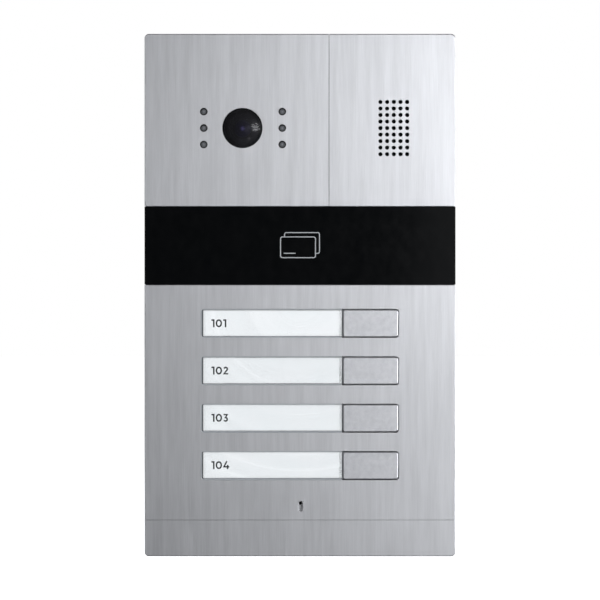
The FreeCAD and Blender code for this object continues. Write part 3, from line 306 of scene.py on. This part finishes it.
class IntercomPrint(bpy.types.PropertyGroup):
    """Printed numbers and the reader's symbol."""

    number_height: FloatProperty(
        name="Number height", description="Height of the printed numbers", default=0.0031, min=0.001,
        unit="LENGTH"
    )
    number_left: FloatProperty(
        name="Number inset", description="From the card's left edge to the number", default=0.0032,
        unit="LENGTH"
    )
    number_weight: FloatProperty(
        name="Number weight", description="Stroke of the numbers, over their height", default=0.185,
        min=0.02, max=0.3
    )
    number_gap: FloatProperty(
        name="Number spacing", description="Gap between two figures, over their height", default=0.15, min=0.0
    )
    symbol_width: FloatProperty(
        name="Symbol card width", description="Width of the symbol's front card", default=0.0137,
        unit="LENGTH"
    )
    symbol_line: FloatProperty(
        name="Symbol line", description="Width of the symbol's line", default=0.00038, unit="LENGTH"
    )
    ink: StringProperty(name="Number ink", description="sRGB hex of the numbers", default="141619")
    symbol_ink: StringProperty(name="Symbol ink", description="sRGB hex of the symbol", default="9A9DA0")


class IntercomStudio(bpy.types.PropertyGroup):
    """Camera and lights."""

    lens: FloatProperty(name="Lens", description="Focal length in millimetres", default=150.0, min=50.0)
    picture_width: FloatProperty(
        name="Picture width", description="Width seen at the panel's face", default=0.2353, unit="LENGTH"
    )
    camera_height: FloatProperty(
        name="Camera height", description="Height of the camera over the panel's middle", default=-0.0019,
        unit="LENGTH"
    )
    window_power: FloatProperty(
        name="Window light", description="Power of the square light ahead and to the right, in watts",
        default=2.06
    )
    wall_power: FloatProperty(
        name="Pale wall", description="Power of the dim wall ahead and to the right, in watts", default=0.225
    )
    tall_power: FloatProperty(
        name="Tall light", description="Power of the tall light on the right, in watts", default=9.4
    )
    low_power: FloatProperty(name="Low lamp", description="Power of the low lamp in watts", default=0.02)
    fill_power: FloatProperty(
        name="Left fill", description="Power of the soft light far left in watts", default=2.2
    )
    back_power: FloatProperty(
        name="Back lights", description="Power of each back light in watts", default=6.0, min=0.0
    )
    room_light: FloatProperty(
        name="Room light", description="Strength of the room's own light", default=0.25, min=0.0
    )
    light_colour: StringProperty(name="Light colour", description="sRGB hex of the lights", default="FCFDFF")
    floor_drop: FloatProperty(
        name="Floor drop", description="Gap between the panel and the floor", default=0.06, unit="LENGTH"
    )


def finishes():
    """Settings of the finishes."""
    return bpy.context.scene.intercom_finishes


def prints():
    """Settings of the numbers and the symbol."""
    return bpy.context.scene.intercom_print


def studio():
    """Settings of the camera and the lights."""
    return bpy.context.scene.intercom_studio


# ---------------------------------------------------------------- materials
def brushed_aluminium():
    """Clear-anodised aluminium sheet, brushed upright: light and dark lines and a glow drawn out sideways."""
    # Real brush lines are under 0.1 mm wide. These are coarser than real, so that they show.
    f = finishes()
    width, length = f.grain_width / MM, f.grain_length / MM
    material, tree = new_material("brushed anodised aluminium")
    fine = grain(tree, (width, width, length), detail=3.0, roughness=0.7)
    broad = grain(tree, (width * 7, width * 7, length * 3), detail=2.0, roughness=0.5)
    hair = grain(tree, (width * 1.2, width * 1.2, length * 1.6), detail=2.0, roughness=0.7)
    shade = add(tree, "ShaderNodeMath", {0: fine, 1: broad}, operation="ADD").outputs[0]
    shade = spread(tree, shade, 0.0, 1.0, 0.7, 1.3)
    colour = blend_colours(tree, shade, linear(f.metal_dark), linear(f.metal_light))
    inputs = {
        "Base Color": colour,
        "Metallic": 1.0,
        "Roughness": spread(tree, fine, 0.385, 0.415),
        "Anisotropic": 0.55,
        "Tangent": add(tree, "ShaderNodeTangent", direction_type="RADIAL", axis="Z").outputs[0],
        "Normal": bump(tree, hair, 0.022),
    }
    output(tree, add(tree, "ShaderNodeBsdfPrincipled", inputs).outputs[0])
    return material


def blasted_aluminium():
    """Bead-blasted, anodised aluminium: an even sparkle of dimples and a glow drawn a little sideways."""
    # Real dimples are about 0.1 mm across. These are coarser than real, so that they show.
    grit = finishes().key_grit / MM
    material, tree = new_material("bead-blasted aluminium")
    dimple = grain(tree, (grit,) * 3, detail=2.0, roughness=0.7)
    patch = grain(tree, (grit * 5,) * 3, detail=2.0)
    shade = add(tree, "ShaderNodeMath", {0: dimple, 1: patch}, operation="ADD").outputs[0]
    colour = blend_colours(tree, spread(tree, shade, 0.0, 1.0, 0.7, 1.3), linear("C0C1C5"), linear("D2D3D6"))
    inputs = {
        "Base Color": colour,
        "Metallic": 1.0,
        "Roughness": spread(tree, dimple, 0.40, 0.45),
        "Anisotropic": 0.45,
        "Tangent": add(tree, "ShaderNodeTangent", direction_type="RADIAL", axis="Z").outputs[0],
        "Normal": bump(tree, dimple, 0.02),
    }
    output(tree, add(tree, "ShaderNodeBsdfPrincipled", inputs).outputs[0])
    return material


def black_acrylic():
    """Polished black cast acrylic: deep, glossy, with the faintest ripple."""
    material, tree = new_material("polished black acrylic")
    ripple = grain(tree, (9.0, 9.0, 9.0), detail=1.0)
    smear = grain(tree, (3.0, 3.0, 5.0), detail=3.0)
    band = finishes().band_colour
    colour = blend_colours(tree, spread(tree, smear, 0.0, 1.0), linear(band), linear("08090A"))
    inputs = {
        "Base Color": colour,
        "Roughness": spread(tree, smear, 0.10, 0.16),
        "IOR": ACRYLIC_IOR,
        "Normal": bump(tree, ripple, 0.01),
    }
    output(tree, add(tree, "ShaderNodeBsdfPrincipled", inputs).outputs[0])
    return material


def clear_skin(tree, tint, haze, cell_mm, ior, normal=None):
    """Shader of clear plastic: seen straight through in its tint, under a gloss that grows at the edges."""
    wear = grain(tree, (cell_mm,) * 3, detail=0.0)
    normal = bump(tree, wear, 0.0001, normal=normal)
    through = add(tree, "ShaderNodeBsdfTransparent", {"Color": linear(tint)})
    inputs = {"Roughness": spread(tree, wear, haze, haze + 0.03), "Normal": normal}
    gloss = add(tree, "ShaderNodeBsdfGlossy", inputs)
    fresnel = add(tree, "ShaderNodeFresnel", {"IOR": ior, "Normal": normal})
    inputs = {0: fresnel.outputs[0], 1: through.outputs[0], 2: gloss.outputs[0]}
    return add(tree, "ShaderNodeMixShader", inputs).outputs[0]


def smoked_dome():
    """Smoked acrylic, hard-coated and moulded: a dark glossy bubble with a trace of milk in it."""
    material, tree = new_material("smoked hard-coated acrylic")
    cloud = grain(tree, (5.0, 5.0, 5.0), detail=1.0)
    milk = blend_colours(tree, spread(tree, cloud, 0.0, 1.0), linear("141415"), linear("1A1A1C"))
    body = add(tree, "ShaderNodeBsdfDiffuse", {"Color": milk})
    low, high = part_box("camera_window")
    middle = (low + high) / 2
    ball = ball_normal(tree, (middle.x, low.y + DOME_BALL, middle.z))
    skin = clear_skin(tree, "C8C8CC", haze=0.1, cell_mm=6.0, ior=DOME_IOR, normal=ball)
    output(tree, add(tree, "ShaderNodeAddShader", {0: skin, 1: body.outputs[0]}).outputs[0])
    return material


def inside(tree, corner, far_corner, soft):
    """1 inside an X-Z box of the object, falling to 0 at its edges over soft = (x, z)."""
    place = add(tree, "ShaderNodeTexCoord")
    split = add(tree, "ShaderNodeSeparateXYZ", {0: place.outputs["Object"]})
    result = 1.0
    for k, axis in enumerate((0, 2)):
        for edge, way in ((corner[k], 1), (far_corner[k], -1)):
            inputs = {"Value": split.outputs[axis], "From Min": edge, "From Max": edge + way * soft[k]}
            step = add(tree, "ShaderNodeMapRange", inputs, interpolation_type="SMOOTHSTEP").outputs[0]
            result = add(tree, "ShaderNodeMath", {0: result, 1: step}, operation="MULTIPLY").outputs[0]
    return result


def name_window(row):
    """Moulded clear acrylic, polished on its face. Its satin rim and flange carry some of the backlight,
    painted in as their own glow.
    """
    material, tree = new_material(f"clear acrylic window {row}")
    low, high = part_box(f"name_window_{row}")
    rim = WINDOW_FLANGE + WINDOW_RIM
    near_corner, far_corner = (low.x + rim, low.z + rim), (high.x - WINDOW_RIM, high.z - rim)
    clear = inside(tree, near_corner, far_corner, (0.1 * MM, 0.1 * MM))
    satin = grain(tree, (0.3, 0.3, 0.3))
    # Painted glow: the rim's emission stands in for backlight piped through the acrylic.
    inputs = {
        "Base Color": blend_colours(tree, spread(tree, satin, 0.0, 1.0), linear("7A7D80"), linear("888B8E")),
        "Roughness": spread(tree, satin, 0.5, 0.65),
        "Normal": bump(tree, satin, 0.01),
        "Emission Color": linear("DCE2E8"),
        "Emission Strength": 0.3,
    }
    satin_rim_glow = add(tree, "ShaderNodeBsdfPrincipled", inputs).outputs[0]
    face = clear_skin(tree, "FAFBFB", haze=0.03, cell_mm=4.0, ior=ACRYLIC_IOR)
    output(tree, add(tree, "ShaderNodeMixShader", {0: clear, 1: satin_rim_glow, 2: face}).outputs[0])
    return material


def lit_card(row):
    """Translucent film lit from behind, its backlight painted in as its own glow: an even white with fine
    fibre, with painted shade a little darker at its edges.
    """
    material, tree = new_material(f"backlit card {row}")
    low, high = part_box(f"name_card_{row}")
    # Painted shade: the glow falls off towards the card's edges, as if shaded by the window's frame.
    painted_edge_shade = inside(tree, (low.x, low.z), (high.x, high.z), (1.6 * MM, 0.9 * MM))
    fibre = grain(tree, (0.5, 0.5, 0.3), detail=4.0)
    cloud = grain(tree, (14.0, 14.0, 9.0), detail=1.0)
    tint = blend_colours(tree, spread(tree, cloud, 0.0, 1.0), linear("EFF1F3"), linear("F1F2F4"))
    inputs = {
        "Base Color": blend_colours(tree, spread(tree, fibre, 0.0, 1.0), linear("787B7E"), linear("84878A")),
        "Roughness": spread(tree, fibre, 0.6, 0.75),
        "Normal": bump(tree, fibre, 0.01),
        "Emission Color": tint,
        "Emission Strength": spread(tree, painted_edge_shade, 0.86, 1.0, 0.0, 1.0),
    }
    output(tree, add(tree, "ShaderNodeBsdfPrincipled", inputs).outputs[0])
    return material


def coated_glass():
    """Lens glass with an antireflection coat: a painted violet glint at its middle, standing in for the
    coat's reflection, in near black.
    """
    material, tree = new_material("coated optical glass")
    low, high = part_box("lens_glass")
    middle = (low + high) / 2
    place = add(tree, "ShaderNodeTexCoord")
    inputs = {0: place.outputs["Object"], 1: (1.0, 0.0, 1.0)}
    flat = add(tree, "ShaderNodeVectorMath", inputs, operation="MULTIPLY")
    inputs = {0: flat.outputs[0], 1: (middle.x, 0.0, middle.z)}
    reach = add(tree, "ShaderNodeVectorMath", inputs, operation="DISTANCE").outputs["Value"]
    bloom = grain(tree, (2.0, 2.0, 2.0), detail=1.0)
    # Painted reflection: the base colour turns violet towards the middle, as the coat's glint.
    near = spread(tree, reach, 0.0, 1.0, LENS_REFLECTION_REACH, 0.0)
    painted_violet_glint = add(tree, "ShaderNodeMath", {0: near, 1: 2.0}, operation="POWER").outputs[0]
    colour = blend_colours(tree, painted_violet_glint, linear("1B163A"), linear("B8ACFF"))
    inputs = {
        "Base Color": colour,
        "Roughness": spread(tree, bloom, 0.32, 0.4),
        "IOR": 1.4,
        "Normal": bump(tree, bloom, 0.001),
    }
    output(tree, add(tree, "ShaderNodeBsdfPrincipled", inputs).outputs[0])
    return material


def circuit_board():
    """Green solder resist, satin, with the copper under it showing as lighter tracks."""
    # Real tracks are nearer 0.2 mm wide. These are coarser than real, so that they show.
    material, tree = new_material("solder resist on glass-epoxy")
    place = add(tree, "ShaderNodeTexCoord")
    mapped = add(tree, "ShaderNodeMapping", {"Vector": place.outputs["Object"], "Scale": (BOARD_UNITS,) * 3})
    split = add(tree, "ShaderNodeSeparateXYZ", {0: mapped.outputs[0]})
    flat = add(tree, "ShaderNodeCombineXYZ", {0: split.outputs[0], 1: split.outputs[2]})
    tracks = add(
        tree, "ShaderNodeTexBrick",
        {
            "Vector": flat.outputs[0], "Color1": (0, 0, 0, 1), "Color2": (0.25, 0.25, 0.25, 1),
            "Mortar": (1, 1, 1, 1), "Scale": 1.0, "Mortar Size": 0.09, "Mortar Smooth": 0.3,
            "Brick Width": 7.0, "Row Height": 1.6,
        },
        offset=0.37, squash=0.6, squash_frequency=3,
    ).outputs["Color"]
    haze = grain(tree, (1.0, 1.0, 1.0))
    inputs = {
        "Base Color": blend_colours(tree, tracks, linear("0E4A2C"), linear("1B7043")),
        "Roughness": spread(tree, haze, 0.26, 0.4),
        "Normal": bump(tree, tracks, 0.03),
    }
    output(tree, add(tree, "ShaderNodeBsdfPrincipled", inputs).outputs[0])
    return material


def woven_cloth():
    """Black acoustic cloth: a plain weave of 0.25 mm threads."""
    material, tree = new_material("woven acoustic cloth")
    place = add(tree, "ShaderNodeTexCoord")
    threads = math.tau / (WEAVE_PITCH * WAVE_RATE)
    mapped = add(tree, "ShaderNodeMapping", {"Vector": place.outputs["Object"], "Scale": (threads,) * 3})
    inputs = {"Vector": mapped.outputs[0], "Scale": 1.0}
    waves = [add(tree, "ShaderNodeTexWave", inputs, bands_direction=way).outputs["Fac"] for way in ("X", "Z")]
    weave = add(tree, "ShaderNodeMath", {0: waves[0], 1: waves[1]}, operation="MULTIPLY").outputs[0]
    colour = blend_colours(tree, weave, linear("050506"), linear("16171A"))
    inputs = {
        "Base Color": colour, "Roughness": spread(tree, weave, 0.95, 0.75, 0.0, 1.0),
        "Normal": bump(tree, weave, 0.05),
    }
    output(tree, add(tree, "ShaderNodeBsdfPrincipled", inputs).outputs[0])
    return material


def foam(name, dark, light, cell):
    """Closed-cell foam: round cells whose sunken pits are painted darker, as shade."""
    material, tree = new_material(name)
    cells = grain(tree, (cell,) * 3, kind="ShaderNodeTexVoronoi")
    # Painted shade: the colour darkens with the same pattern that sinks the pits.
    colour = blend_colours(tree, spread(tree, cells, 0.0, 1.0, 0.1, 0.6), linear(light), linear(dark))
    inputs = {
        "Base Color": colour, "Roughness": spread(tree, cells, 0.8, 0.95, 0.0, 0.7),
        "Normal": bump(tree, cells, -0.1),
    }
    output(tree, add(tree, "ShaderNodeBsdfPrincipled", inputs).outputs[0])
    return material


def zinc_plate():
    """Zinc-plated pressed steel: pale, faintly blue, with soft crystal patches about 3 mm across."""
    material, tree = new_material("zinc-plated steel")
    crystal = grain(tree, (3.0, 3.0, 3.0), kind="ShaderNodeTexVoronoi")
    fine = grain(tree, (0.4, 0.4, 0.4))
    shade = spread(tree, crystal, 0.0, 1.0, 0.0, 0.8)
    inputs = {
        "Base Color": blend_colours(tree, shade, linear("B9BFC6"), linear("C6CAD0")),
        "Metallic": 1.0,
        "Roughness": spread(tree, crystal, 0.36, 0.42, 0.0, 0.8),
        "Normal": bump(tree, fine, 0.01),
    }
    output(tree, add(tree, "ShaderNodeBsdfPrincipled", inputs).outputs[0])
    return material


# ---------------------------------------------------------------- operators
class INTERCOM_OT_stage(bpy.types.Operator):
    """Sets the floor, the background, the lights and the camera"""

    bl_idname = "intercom.stage"
    bl_label = "Studio"

    def execute(self, context):
        s = studio()
        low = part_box("bottom_strip")[0]
        face = low.y
        floor_z = low.z - s.floor_drop
        build = bmesh.new()
        bmesh.ops.create_grid(build, x_segments=12, y_segments=12, size=FLOOR_HALF)
        floor = bpy.data.objects.new("floor", finished_mesh("floor", build))
        floor.location = (0.0, FLOOR_HALF + face, floor_z)
        context.scene.collection.objects.link(floor)
        material, tree = new_material("pale studio paper")
        fibre = grain(tree, (2.0, 2.0, 2.0))
        paper = blend_colours(tree, spread(tree, fibre, 0.0, 1.0), linear("F4F4F4"), linear("FAFAFA"))
        # The paper glows to the camera alone and is grey to every other ray, so that it lights nothing.
        seen = add(tree, "ShaderNodeLightPath").outputs["Is Camera Ray"]
        inputs = {
            "Base Color": blend_colours(tree, seen, linear("7C7D7F"), paper),
            "Roughness": 0.9,
            "Normal": bump(tree, fibre, 0.05),
            "Emission Color": paper,
            "Emission Strength": seen,
        }
        output(tree, add(tree, "ShaderNodeBsdfPrincipled", inputs).outputs[0])
        floor.data.materials.append(material)

        context.scene.world = self.studio_world(s.room_light)

        middle = Vector((0.0, face, 0.0))
        # Name, power, azimuth and elevation in degrees, distance and size in metres.
        lights = (
            ("window light", s.window_power, 27.0, 9.8, 0.94, (0.27, 0.27)),
            ("pale wall", s.wall_power, 18.9, 0.0, 0.9, (0.42, 0.9)),
            ("tall light", s.tall_power, 55.0, 0.0, 0.8, (0.3, 0.7)),
            ("low lamp", s.low_power, 12.7, -13.5, 0.54, (0.06, 0.045)),
            ("left fill", s.fill_power, -75.0, -5.0, 1.2, (0.5, 1.2)),
            ("back left", s.back_power, -140.0, 25.0, 1.3, (0.8, 0.8)),
            ("back right", s.back_power, 125.0, 15.0, 1.3, (0.8, 0.8)),
        )
        for name, power, azimuth, elevation, distance, size in lights:
            lamp = bpy.data.lights.new(name, "AREA")
            lamp.shape = "RECTANGLE"
            lamp.size, lamp.size_y = size
            lamp.energy = power
            lamp.color = linear(s.light_colour)[:3]
            holder = bpy.data.objects.new(name, lamp)
            turn, lift = math.radians(azimuth), math.radians(elevation)
            way = Vector((math.sin(turn) * math.cos(lift), -math.cos(turn) * math.cos(lift), math.sin(lift)))
            holder.location = middle + way * distance
            holder.rotation_euler = (-way).to_track_quat("-Z", "Y").to_euler()
            holder.visible_camera = False
            context.scene.collection.objects.link(holder)

        view = bpy.data.cameras.new("camera")
        view.lens = s.lens
        view.sensor_width = 36.0
        camera = bpy.data.objects.new("camera", view)
        distance = s.picture_width * s.lens / view.sensor_width
        camera.location = (0.0, face - distance, s.camera_height)
        camera.rotation_euler = (math.radians(90), 0.0, 0.0)
        context.scene.collection.objects.link(camera)
        context.scene.camera = camera
        context.scene.view_settings.view_transform = "Standard"
        return {"FINISHED"}

    def studio_world(self, room_light):
        """White room to the eye. It lights the panel softly, but not from in front, where it is dark."""
        world = bpy.data.worlds.new("studio")
        world.use_nodes = True
        tree = world.node_tree
        tree.nodes.clear()
        way = add(tree, "ShaderNodeTexCoord").outputs["Generated"]
        forward = add(tree, "ShaderNodeVectorMath", {0: way, 1: (0.0, -1.0, 0.0)}, operation="DOT_PRODUCT")
        inputs = {
            "Value": forward.outputs["Value"], "From Min": math.cos(DARK_TO), "From Max": math.cos(DARK_FROM),
            "To Min": room_light, "To Max": room_light * FRONT_SHARE,
        }
        fall = add(tree, "ShaderNodeMapRange", inputs, interpolation_type="SMOOTHSTEP").outputs[0]
        seen = add(tree, "ShaderNodeBackground", {"Color": (1, 1, 1, 1), "Strength": 1.0})
        lit = add(tree, "ShaderNodeBackground", {"Color": linear("F2F4F8"), "Strength": fall})
        ray = add(tree, "ShaderNodeLightPath").outputs["Is Camera Ray"]
        mixed = add(tree, "ShaderNodeMixShader", {0: ray, 1: lit.outputs[0], 2: seen.outputs[0]})
        add(tree, "ShaderNodeOutputWorld", {"Surface": mixed.outputs[0]})
        return world


class INTERCOM_OT_plates(bpy.types.Operator):
    """Gives the front plates and the bottom strip their brushed metal"""

    bl_idname = "intercom.plates"
    bl_label = "Brushed plates"

    def execute(self, context):
        finish_nodes(brushed_aluminium(), ("camera_plate", "speaker_plate", "button_plate", "bottom_strip"))
        return {"FINISHED"}


class INTERCOM_OT_reader(bpy.types.Operator):
    """Gives the reader band its gloss and prints the two-card symbol on it"""

    bl_idname = "intercom.reader"
    bl_label = "Reader band and symbol"

    def execute(self, context):
        finish_nodes(black_acrylic(), ("reader_window",))
        p = prints()
        ink = plain_finish("grey screen ink", p.symbol_ink, "A4A7AA", (0.45, 0.6), (0.3, 0.3, 0.3), 0.004)
        low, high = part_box("reader_window")
        face = low.y - SYMBOL_INK
        width = p.symbol_width
        height = width * CARD_HEIGHT
        shift = Vector(CARD_SHIFT) * width
        radius = width * CARD_CORNER
        left = (low.x + high.x) / 2 - width * CARD_PLACE[0]
        bottom = (low.z + high.z) / 2 - width * CARD_PLACE[1]
        right, top = left + width, bottom + height
        corners = (
            (right - radius, bottom + radius, -90, 0), (right - radius, top - radius, 0, 90),
            (left + radius, top - radius, 90, 180), (left + radius, bottom + radius, 180, 270),
        )
        front = [q for x, z, a, b in corners for q in arc_points((x, z), radius, a, b)]
        build = bmesh.new()
        stroke(build, front, p.symbol_line, face, SYMBOL_INK, closed=True)
        back = [(left + shift.x, top + p.symbol_line / 2)]
        back += arc_points((left + shift.x + radius, top + shift.y - radius), radius, 180, 90)
        back += arc_points((right + shift.x - radius, top + shift.y - radius), radius, 90, 0)
        back += arc_points((right + shift.x - radius, bottom + shift.y + radius), radius, 0, -90)
        back.append((right + p.symbol_line / 2, bottom + shift.y))
        stroke(build, back, p.symbol_line, face, SYMBOL_INK)
        start = left + width * STRIPE_START
        stripe = [(start, bottom + shift.y), (start + width * STRIPE_LENGTH, bottom + shift.y)]
        stroke(build, stripe, p.symbol_line, face, SYMBOL_INK)
        new_piece("reader_symbol", finished_mesh("reader_symbol", build), "panel", ink)
        return {"FINISHED"}


class INTERCOM_OT_camera_eye(bpy.types.Operator):
    """Finishes the camera's dome, lens and sensor and the six lamps"""

    bl_idname = "intercom.camera_eye"
    bl_label = "Camera and lamps"

    def execute(self, context):
        finish_nodes(smoked_dome(), ("camera_window",))
        finish_nodes(coated_glass(), ("lens_glass",))
        matt = plain_finish("black anodised barrel", "060607", "0E0E10", (0.45, 0.6), (0.4, 0.4, 0.4), 0.01)
        finish_nodes(matt, ("lens_barrel", "lens_holder", "image_sensor"))
        bush = plain_finish("black nylon bush", "0A0A0B", "151517", (0.5, 0.65), (0.4, 0.4, 0.4), 0.01)
        finish_nodes(bush, ("led_bushes",))
        # The resin's emission is a painted glow, standing in for the light it scatters from the hole, so each
        # lamp is an even grey and not only a glint.
        painted_resin_glow = {"Emission Color": linear("AEB2B8"), "Emission Strength": 0.17}
        grit = (0.6, 0.6, 0.6)
        resin = plain_finish("smoked lamp resin", "4C4E52", "56585C", (0.6, 0.7), grit, 0.004, **painted_resin_glow)
        finish_nodes(resin, ("ir_leds",))
        return {"FINISHED"}


class INTERCOM_OT_keys(bpy.types.Operator):
    """Gives the four call keys their blasted metal"""

    bl_idname = "intercom.keys"
    bl_label = "Call keys"

    def execute(self, context):
        finish_nodes(blasted_aluminium(), [f"call_button_{row}" for row in ROWS])
        return {"FINISHED"}


class INTERCOM_OT_names(bpy.types.Operator):
    """Finishes the name windows and cards and prints a flat number on each card"""

    bl_idname = "intercom.names"
    bl_label = "Name windows and numbers"

    def execute(self, context):
        p = prints()
        ink = plain_finish("dark grey card ink", p.ink, "1E2024", (0.6, 0.75), (0.2, 0.2, 0.2), 0.004)
        for row, text in zip(ROWS, NUMBERS):
            finish_nodes(name_window(row), (f"name_window_{row}",))
            finish_nodes(lit_card(row), (f"name_card_{row}",))
            self.print_number(row, text, ink)
        return {"FINISHED"}

    def print_number(self, row, text, ink):
        """Number printed on one card, set to its height and place from the card's own box."""
        p = prints()
        low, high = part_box(f"name_card_{row}")
        left = low.x + p.number_left
        bottom = (low.z + high.z - p.number_height) / 2
        build = bmesh.new()
        for digit in text:
            strokes, width = digit_strokes(digit, p.number_weight)
            for points, closed in strokes:
                placed = [(left + x * p.number_height, bottom + z * p.number_height) for x, z in points]
                weight = p.number_weight * p.number_height
                stroke(build, placed, weight, low.y - NUMBER_INK, NUMBER_INK, closed)
            left += (width + p.number_gap) * p.number_height
        name = f"card_number_{row}"
        new_piece(name, finished_mesh(name, build), "panel", ink)


class INTERCOM_OT_case(bpy.types.Operator):
    """Finishes the case, covers, bracket, seals and screws"""

    bl_idname = "intercom.case"
    bl_label = "Case and fixings"

    def execute(self, context):
        shade = finishes().case_colour
        case = plain_finish("spark-textured ABS", shade, "34363A", (0.5, 0.68), (0.35, 0.35, 0.35), 0.03)
        finish_nodes(case, ("front_case", "rear_cover", "strip_clip_frame"))
        finish_nodes(zinc_plate(), ("wall_bracket",))
        screw = plain_finish(
            "plated screw steel", "9DA1A6", "C4C7CB", (0.25, 0.4), (0.3, 1.5, 0.3), 0.006, metallic=1.0
        )
        finish_nodes(screw, ("rear_cover_screws", "panel_screws", "board_screws"))
        finish_nodes(foam("closed-cell foam", "0B0B0C", "1F2022", 0.7), ("wall_seal", "bonding_tape"))
        silicone = plain_finish("grey silicone", "5A5C60", "6E7074", (0.5, 0.7), (1.0, 1.0, 1.0), 0.01)
        finish_nodes(silicone, ("case_seal", "speaker_gasket", "microphone_boot"))
        rubber = plain_finish("black seal rubber", "0A0A0B", "131314", (0.6, 0.75), (0.8, 0.8, 0.8), 0.01)
        finish_nodes(rubber, ("window_seal",))
        finish_nodes(silicone, [f"rubber_dome_{row}" for row in ROWS])
        return {"FINISHED"}


class INTERCOM_OT_speaker(bpy.types.Operator):
    """Finishes the speaker, its cloth and its leads, and the microphone"""

    bl_idname = "intercom.speaker"
    bl_label = "Speaker and microphone"

    def execute(self, context):
        finish_nodes(woven_cloth(), ("speaker_mesh",))
        steel = plain_finish(
            "pressed steel", "6E7278", "8E9298", (0.3, 0.45), (0.5, 0.5, 0.5), 0.01, metallic=1.0
        )
        finish_nodes(steel, ("speaker_frame", "speaker_magnet"))
        film = plain_finish("formed polyester film", "8F8D84", "A9A79E", (0.3, 0.45), (0.8, 0.8, 0.8), 0.02)
        finish_nodes(film, ("speaker_cone",))
        cover = plain_finish("red PVC wire cover", "7C1712", "99241C", (0.4, 0.55), (0.6, 0.6, 0.6), 0.01)
        finish_nodes(cover, ("speaker_lead",))
        can = plain_finish(
            "drawn aluminium can", "A8AAAE", "C8CACD", (0.3, 0.42), (0.3, 2.0, 0.3), 0.006, metallic=1.0
        )
        finish_nodes(can, ("microphone",))
        return {"FINISHED"}


class INTERCOM_OT_electronics(bpy.types.Operator):
    """Finishes the boards and everything on them"""

    bl_idname = "intercom.electronics"
    bl_label = "Boards"

    def execute(self, context):
        boards = ("camera_board", "ir_board", "antenna_board", "key_board", "main_board")
        finish_nodes(circuit_board(), boards)
        copper = plain_finish(
            "bare copper track", "A8643C", "CC8656", (0.28, 0.42), (0.4, 0.4, 0.4), 0.004, metallic=1.0
        )
        finish_nodes(copper, ("antenna_coil",))
        flat = plain_finish("polyimide ribbon", "8A4A16", "A65E22", (0.3, 0.42), (0.8, 0.8, 4.0), 0.004)
        finish_nodes(flat, ("camera_ribbon",))
        white = plain_finish(
            "white reflector polycarbonate", "D9DADB", "E8E9EA", (0.4, 0.55), (0.5, 0.5, 0.5), 0.01
        )
        finish_nodes(white, ("light_guides", "backlight_leds"))
        green = plain_finish("green polyamide", "16602F", "1F7A3E", (0.4, 0.55), (0.4, 0.4, 0.4), 0.015)
        finish_nodes(green, ("terminal_block",))
        epoxy = plain_finish("moulded black epoxy", "101113", "1C1D20", (0.45, 0.62), (0.3, 0.3, 0.3), 0.012)
        finish_nodes(epoxy, ("board_components",))
        nylon = plain_finish("white nylon rotor", "D4D1C6", "E4E2D9", (0.42, 0.55), (0.4, 0.4, 0.4), 0.01)
        finish_nodes(nylon, ("trimmer_rotor",))
        return {"FINISHED"}


class INTERCOM_PT_sidebar(bpy.types.Panel):
    """Lists the steps that finish the panel."""

    bl_idname = "INTERCOM_PT_sidebar"
    bl_label = "Door intercom panel"
    bl_space_type = "VIEW_3D"
    bl_region_type = "UI"
    bl_category = "Intercom"

    def draw(self, context):
        for group in ("intercom_finishes", "intercom_print", "intercom_studio"):
            settings = getattr(context.scene, group)
            box = self.layout.box()
            for name in settings.bl_rna.properties.keys():
                if name not in ("rna_type", "name"):
                    box.prop(settings, name)
        for step in STEPS:
            self.layout.operator(step.bl_idname)


STEPS = (
    INTERCOM_OT_stage, INTERCOM_OT_plates, INTERCOM_OT_reader, INTERCOM_OT_camera_eye, INTERCOM_OT_keys,
    INTERCOM_OT_names, INTERCOM_OT_case, INTERCOM_OT_speaker, INTERCOM_OT_electronics,
)
GROUPS = (
    ("intercom_finishes", IntercomFinishes),
    ("intercom_print", IntercomPrint),
    ("intercom_studio", IntercomStudio),
)


def register():
    for name, group in GROUPS:
        bpy.utils.register_class(group)
        setattr(bpy.types.Scene, name, PointerProperty(type=group))
    for step in STEPS:
        bpy.utils.register_class(step)
    bpy.utils.register_class(INTERCOM_PT_sidebar)


def unregister():
    bpy.utils.unregister_class(INTERCOM_PT_sidebar)
    for step in reversed(STEPS):
        bpy.utils.unregister_class(step)
    for name, group in reversed(GROUPS):
        delattr(bpy.types.Scene, name)
        bpy.utils.unregister_class(group)


def main():
    for leftover in [o for o in bpy.data.objects if o.name in ("Cube", "Light", "Camera")]:
        bpy.data.objects.remove(leftover)
    register()
    for step in STEPS:
        group, name = step.bl_idname.split(".")
        getattr(getattr(bpy.ops, group), name)()


if __name__ == "__main__":
    main()
